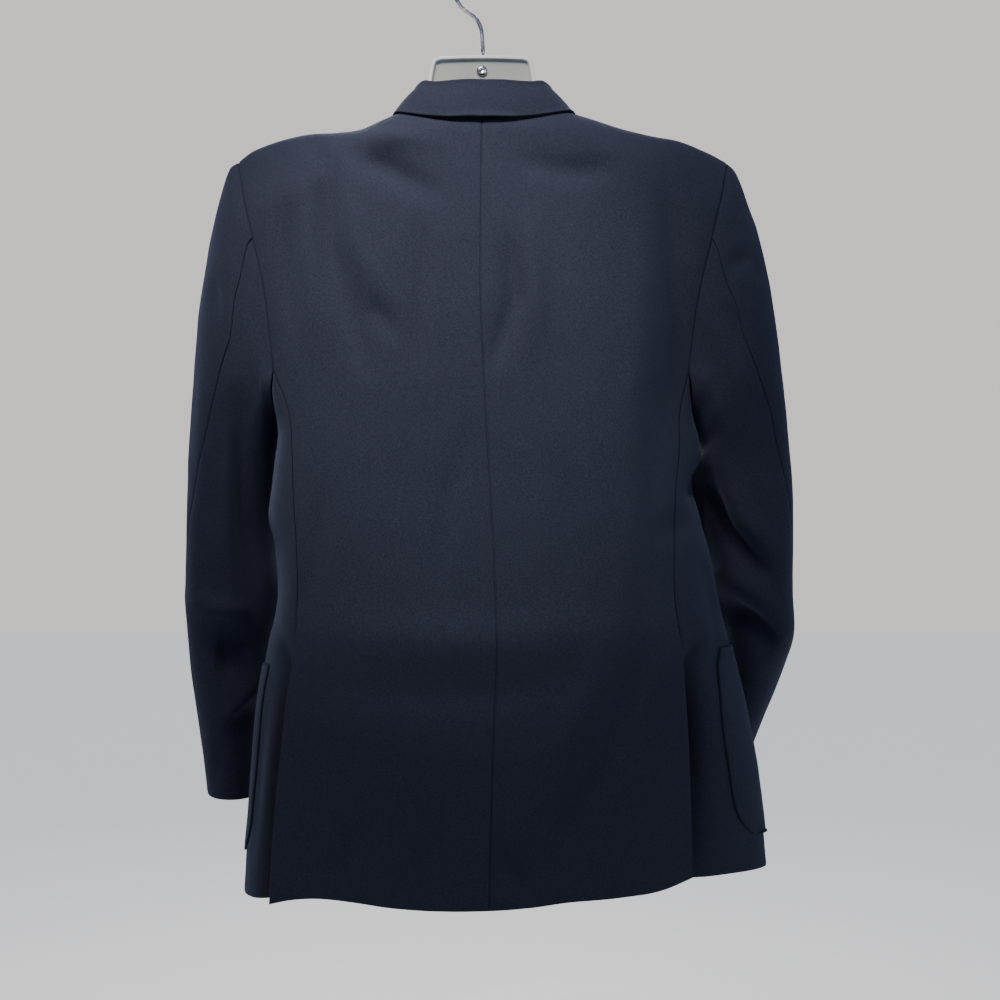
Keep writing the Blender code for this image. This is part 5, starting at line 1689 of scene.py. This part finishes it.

# %% [markdown]
# ## What each piece was cut to
# Every sheet is listed with the flat rectangle that holds its pattern and the pattern's own area, and the
# area that it shows is printed beside. They come from the garment's size: a sleeve about 0.64 m long, a back
# about 0.76 m long.

PATTERN = {
    "back_left": (0.24, 0.78, 0.168),
    "back_right": (0.24, 0.78, 0.168),
    "front_left": (0.25, 0.80, 0.150),
    "front_right": (0.25, 0.80, 0.150),
    "side_left": (0.17, 0.54, 0.070),
    "side_right": (0.18, 0.54, 0.078),
    "sleeve_left_under": (0.20, 0.62, 0.080),
    "sleeve_left_top": (0.20, 0.66, 0.092),
    "sleeve_right_under": (0.20, 0.64, 0.080),
    "sleeve_right_top": (0.20, 0.68, 0.092),
    "lapel_left": (0.10, 0.36, 0.020),
    "lapel_right": (0.10, 0.36, 0.020),
    "pocket_left": (0.17, 0.18, 0.028),
    "pocket_right": (0.17, 0.18, 0.028),
    "collar": (0.44, 0.08, 0.024),
}
for name, (width, length, area) in PATTERN.items():
    mesh = cloth[name].data
    measured = sum(polygon.area for polygon in mesh.polygons) / 2
    print(f"{name}: cut {width} by {length} m, {area} m2, shows {measured:.3f} m2")

# %% [markdown]
# ## Light, floor and camera
# The jacket hangs in a plain bright room with a bluish light from all round. Behind it are a warm soft light
# close above the shoulders, a weak cool one beside, and a shaded lamp whose round pool of light lies on the
# upper back, as a ceiling lamp's does. A larger soft light shows the front. The camera looks straight at the
# back, level with the middle of the jacket.

# %% Lay the floor
floor_mesh = bpy.data.meshes.new("floor")
floor_mesh.from_pydata([(-9, -9, -1.6), (9, -9, -1.6), (9, 9, -1.6), (-9, 9, -1.6)], [], [(0, 1, 2, 3)])
floor = placed("floor", floor_mesh)
glow = {"Emission_Color": (0.84, 0.82, 0.79, 1), "Emission_Strength": 0.85}
pale = Recipe("pale floor", Specular_IOR_Level=0.1, **glow)
speckled = pale.mix(pale.patches(5.0, 2.0), (0.66, 0.65, 0.63), (0.70, 0.69, 0.67))
floor_mesh.materials.append(pale.finish(Base_Color=speckled))
floor.visible_diffuse = False
print("the floor lies", round(-floor_mesh.vertices[0].co.z, 3), "m below the hook")

# %% The room's own light, and what the camera sees behind the jacket
world = bpy.data.worlds.new("plain room")
bpy.context.scene.world = world
world.use_nodes = True
nodes, link = world.node_tree.nodes, world.node_tree.links.new
sky = nodes["Background"]
sky.inputs["Color"].default_value = (0.38, 0.55, 1.0, 1)
sky.inputs["Strength"].default_value = 0.27
backdrop = nodes.new("ShaderNodeBackground")
backdrop.inputs["Color"].default_value = (0.84, 0.82, 0.78, 1)
seen = nodes.new("ShaderNodeLightPath")
either = nodes.new("ShaderNodeMixShader")
link(seen.outputs["Is Camera Ray"], either.inputs[0])
link(sky.outputs[0], either.inputs[1])
link(backdrop.outputs[0], either.inputs[2])
link(either.outputs[0], nodes["World Output"].inputs["Surface"])
print("nodes in the world:", len(nodes))

# %% Lamps and camera
LIGHTS_AIM = (0, 0, -0.35)
LIGHTS = (
    ("warm light above", (0.24, 0.50, 0.46), 0.40, 9.0, (1.0, 0.93, 0.86)),
    ("cool light beside", (-1.5, 1.2, 0.1), 1.0, 5.0, (0.72, 0.84, 1.0)),
    ("light before", (0.2, -1.7, 0.9), 0.9, 45.0, (1.0, 0.98, 0.95)),
)
for name, place, size, energy, colour in LIGHTS:
    lamp = bpy.data.lights.new(name, "AREA")
    lamp.energy, lamp.size, lamp.color = energy, size, colour
    placed(name, lamp, place, LIGHTS_AIM)

shaded = bpy.data.lights.new("shaded lamp", "SPOT")
shaded.energy, shaded.shadow_soft_size, shaded.color = 370.0, 0.08, (1.0, 0.96, 0.92)
shaded.spot_size, shaded.spot_blend = math.radians(8.8), 0.18
placed("shaded lamp", shaded, (0.30, 1.90, 1.75), (0.035, 0.08, -0.33))

camera_data = bpy.data.cameras.new("camera")
camera_data.lens = 45
camera = placed("camera", camera_data, (-0.01764, 1.225, -0.526))
camera.rotation_euler = (math.radians(90), 0, math.radians(180))
bpy.context.scene.camera = camera
print("lights:", len(LIGHTS) + 1)
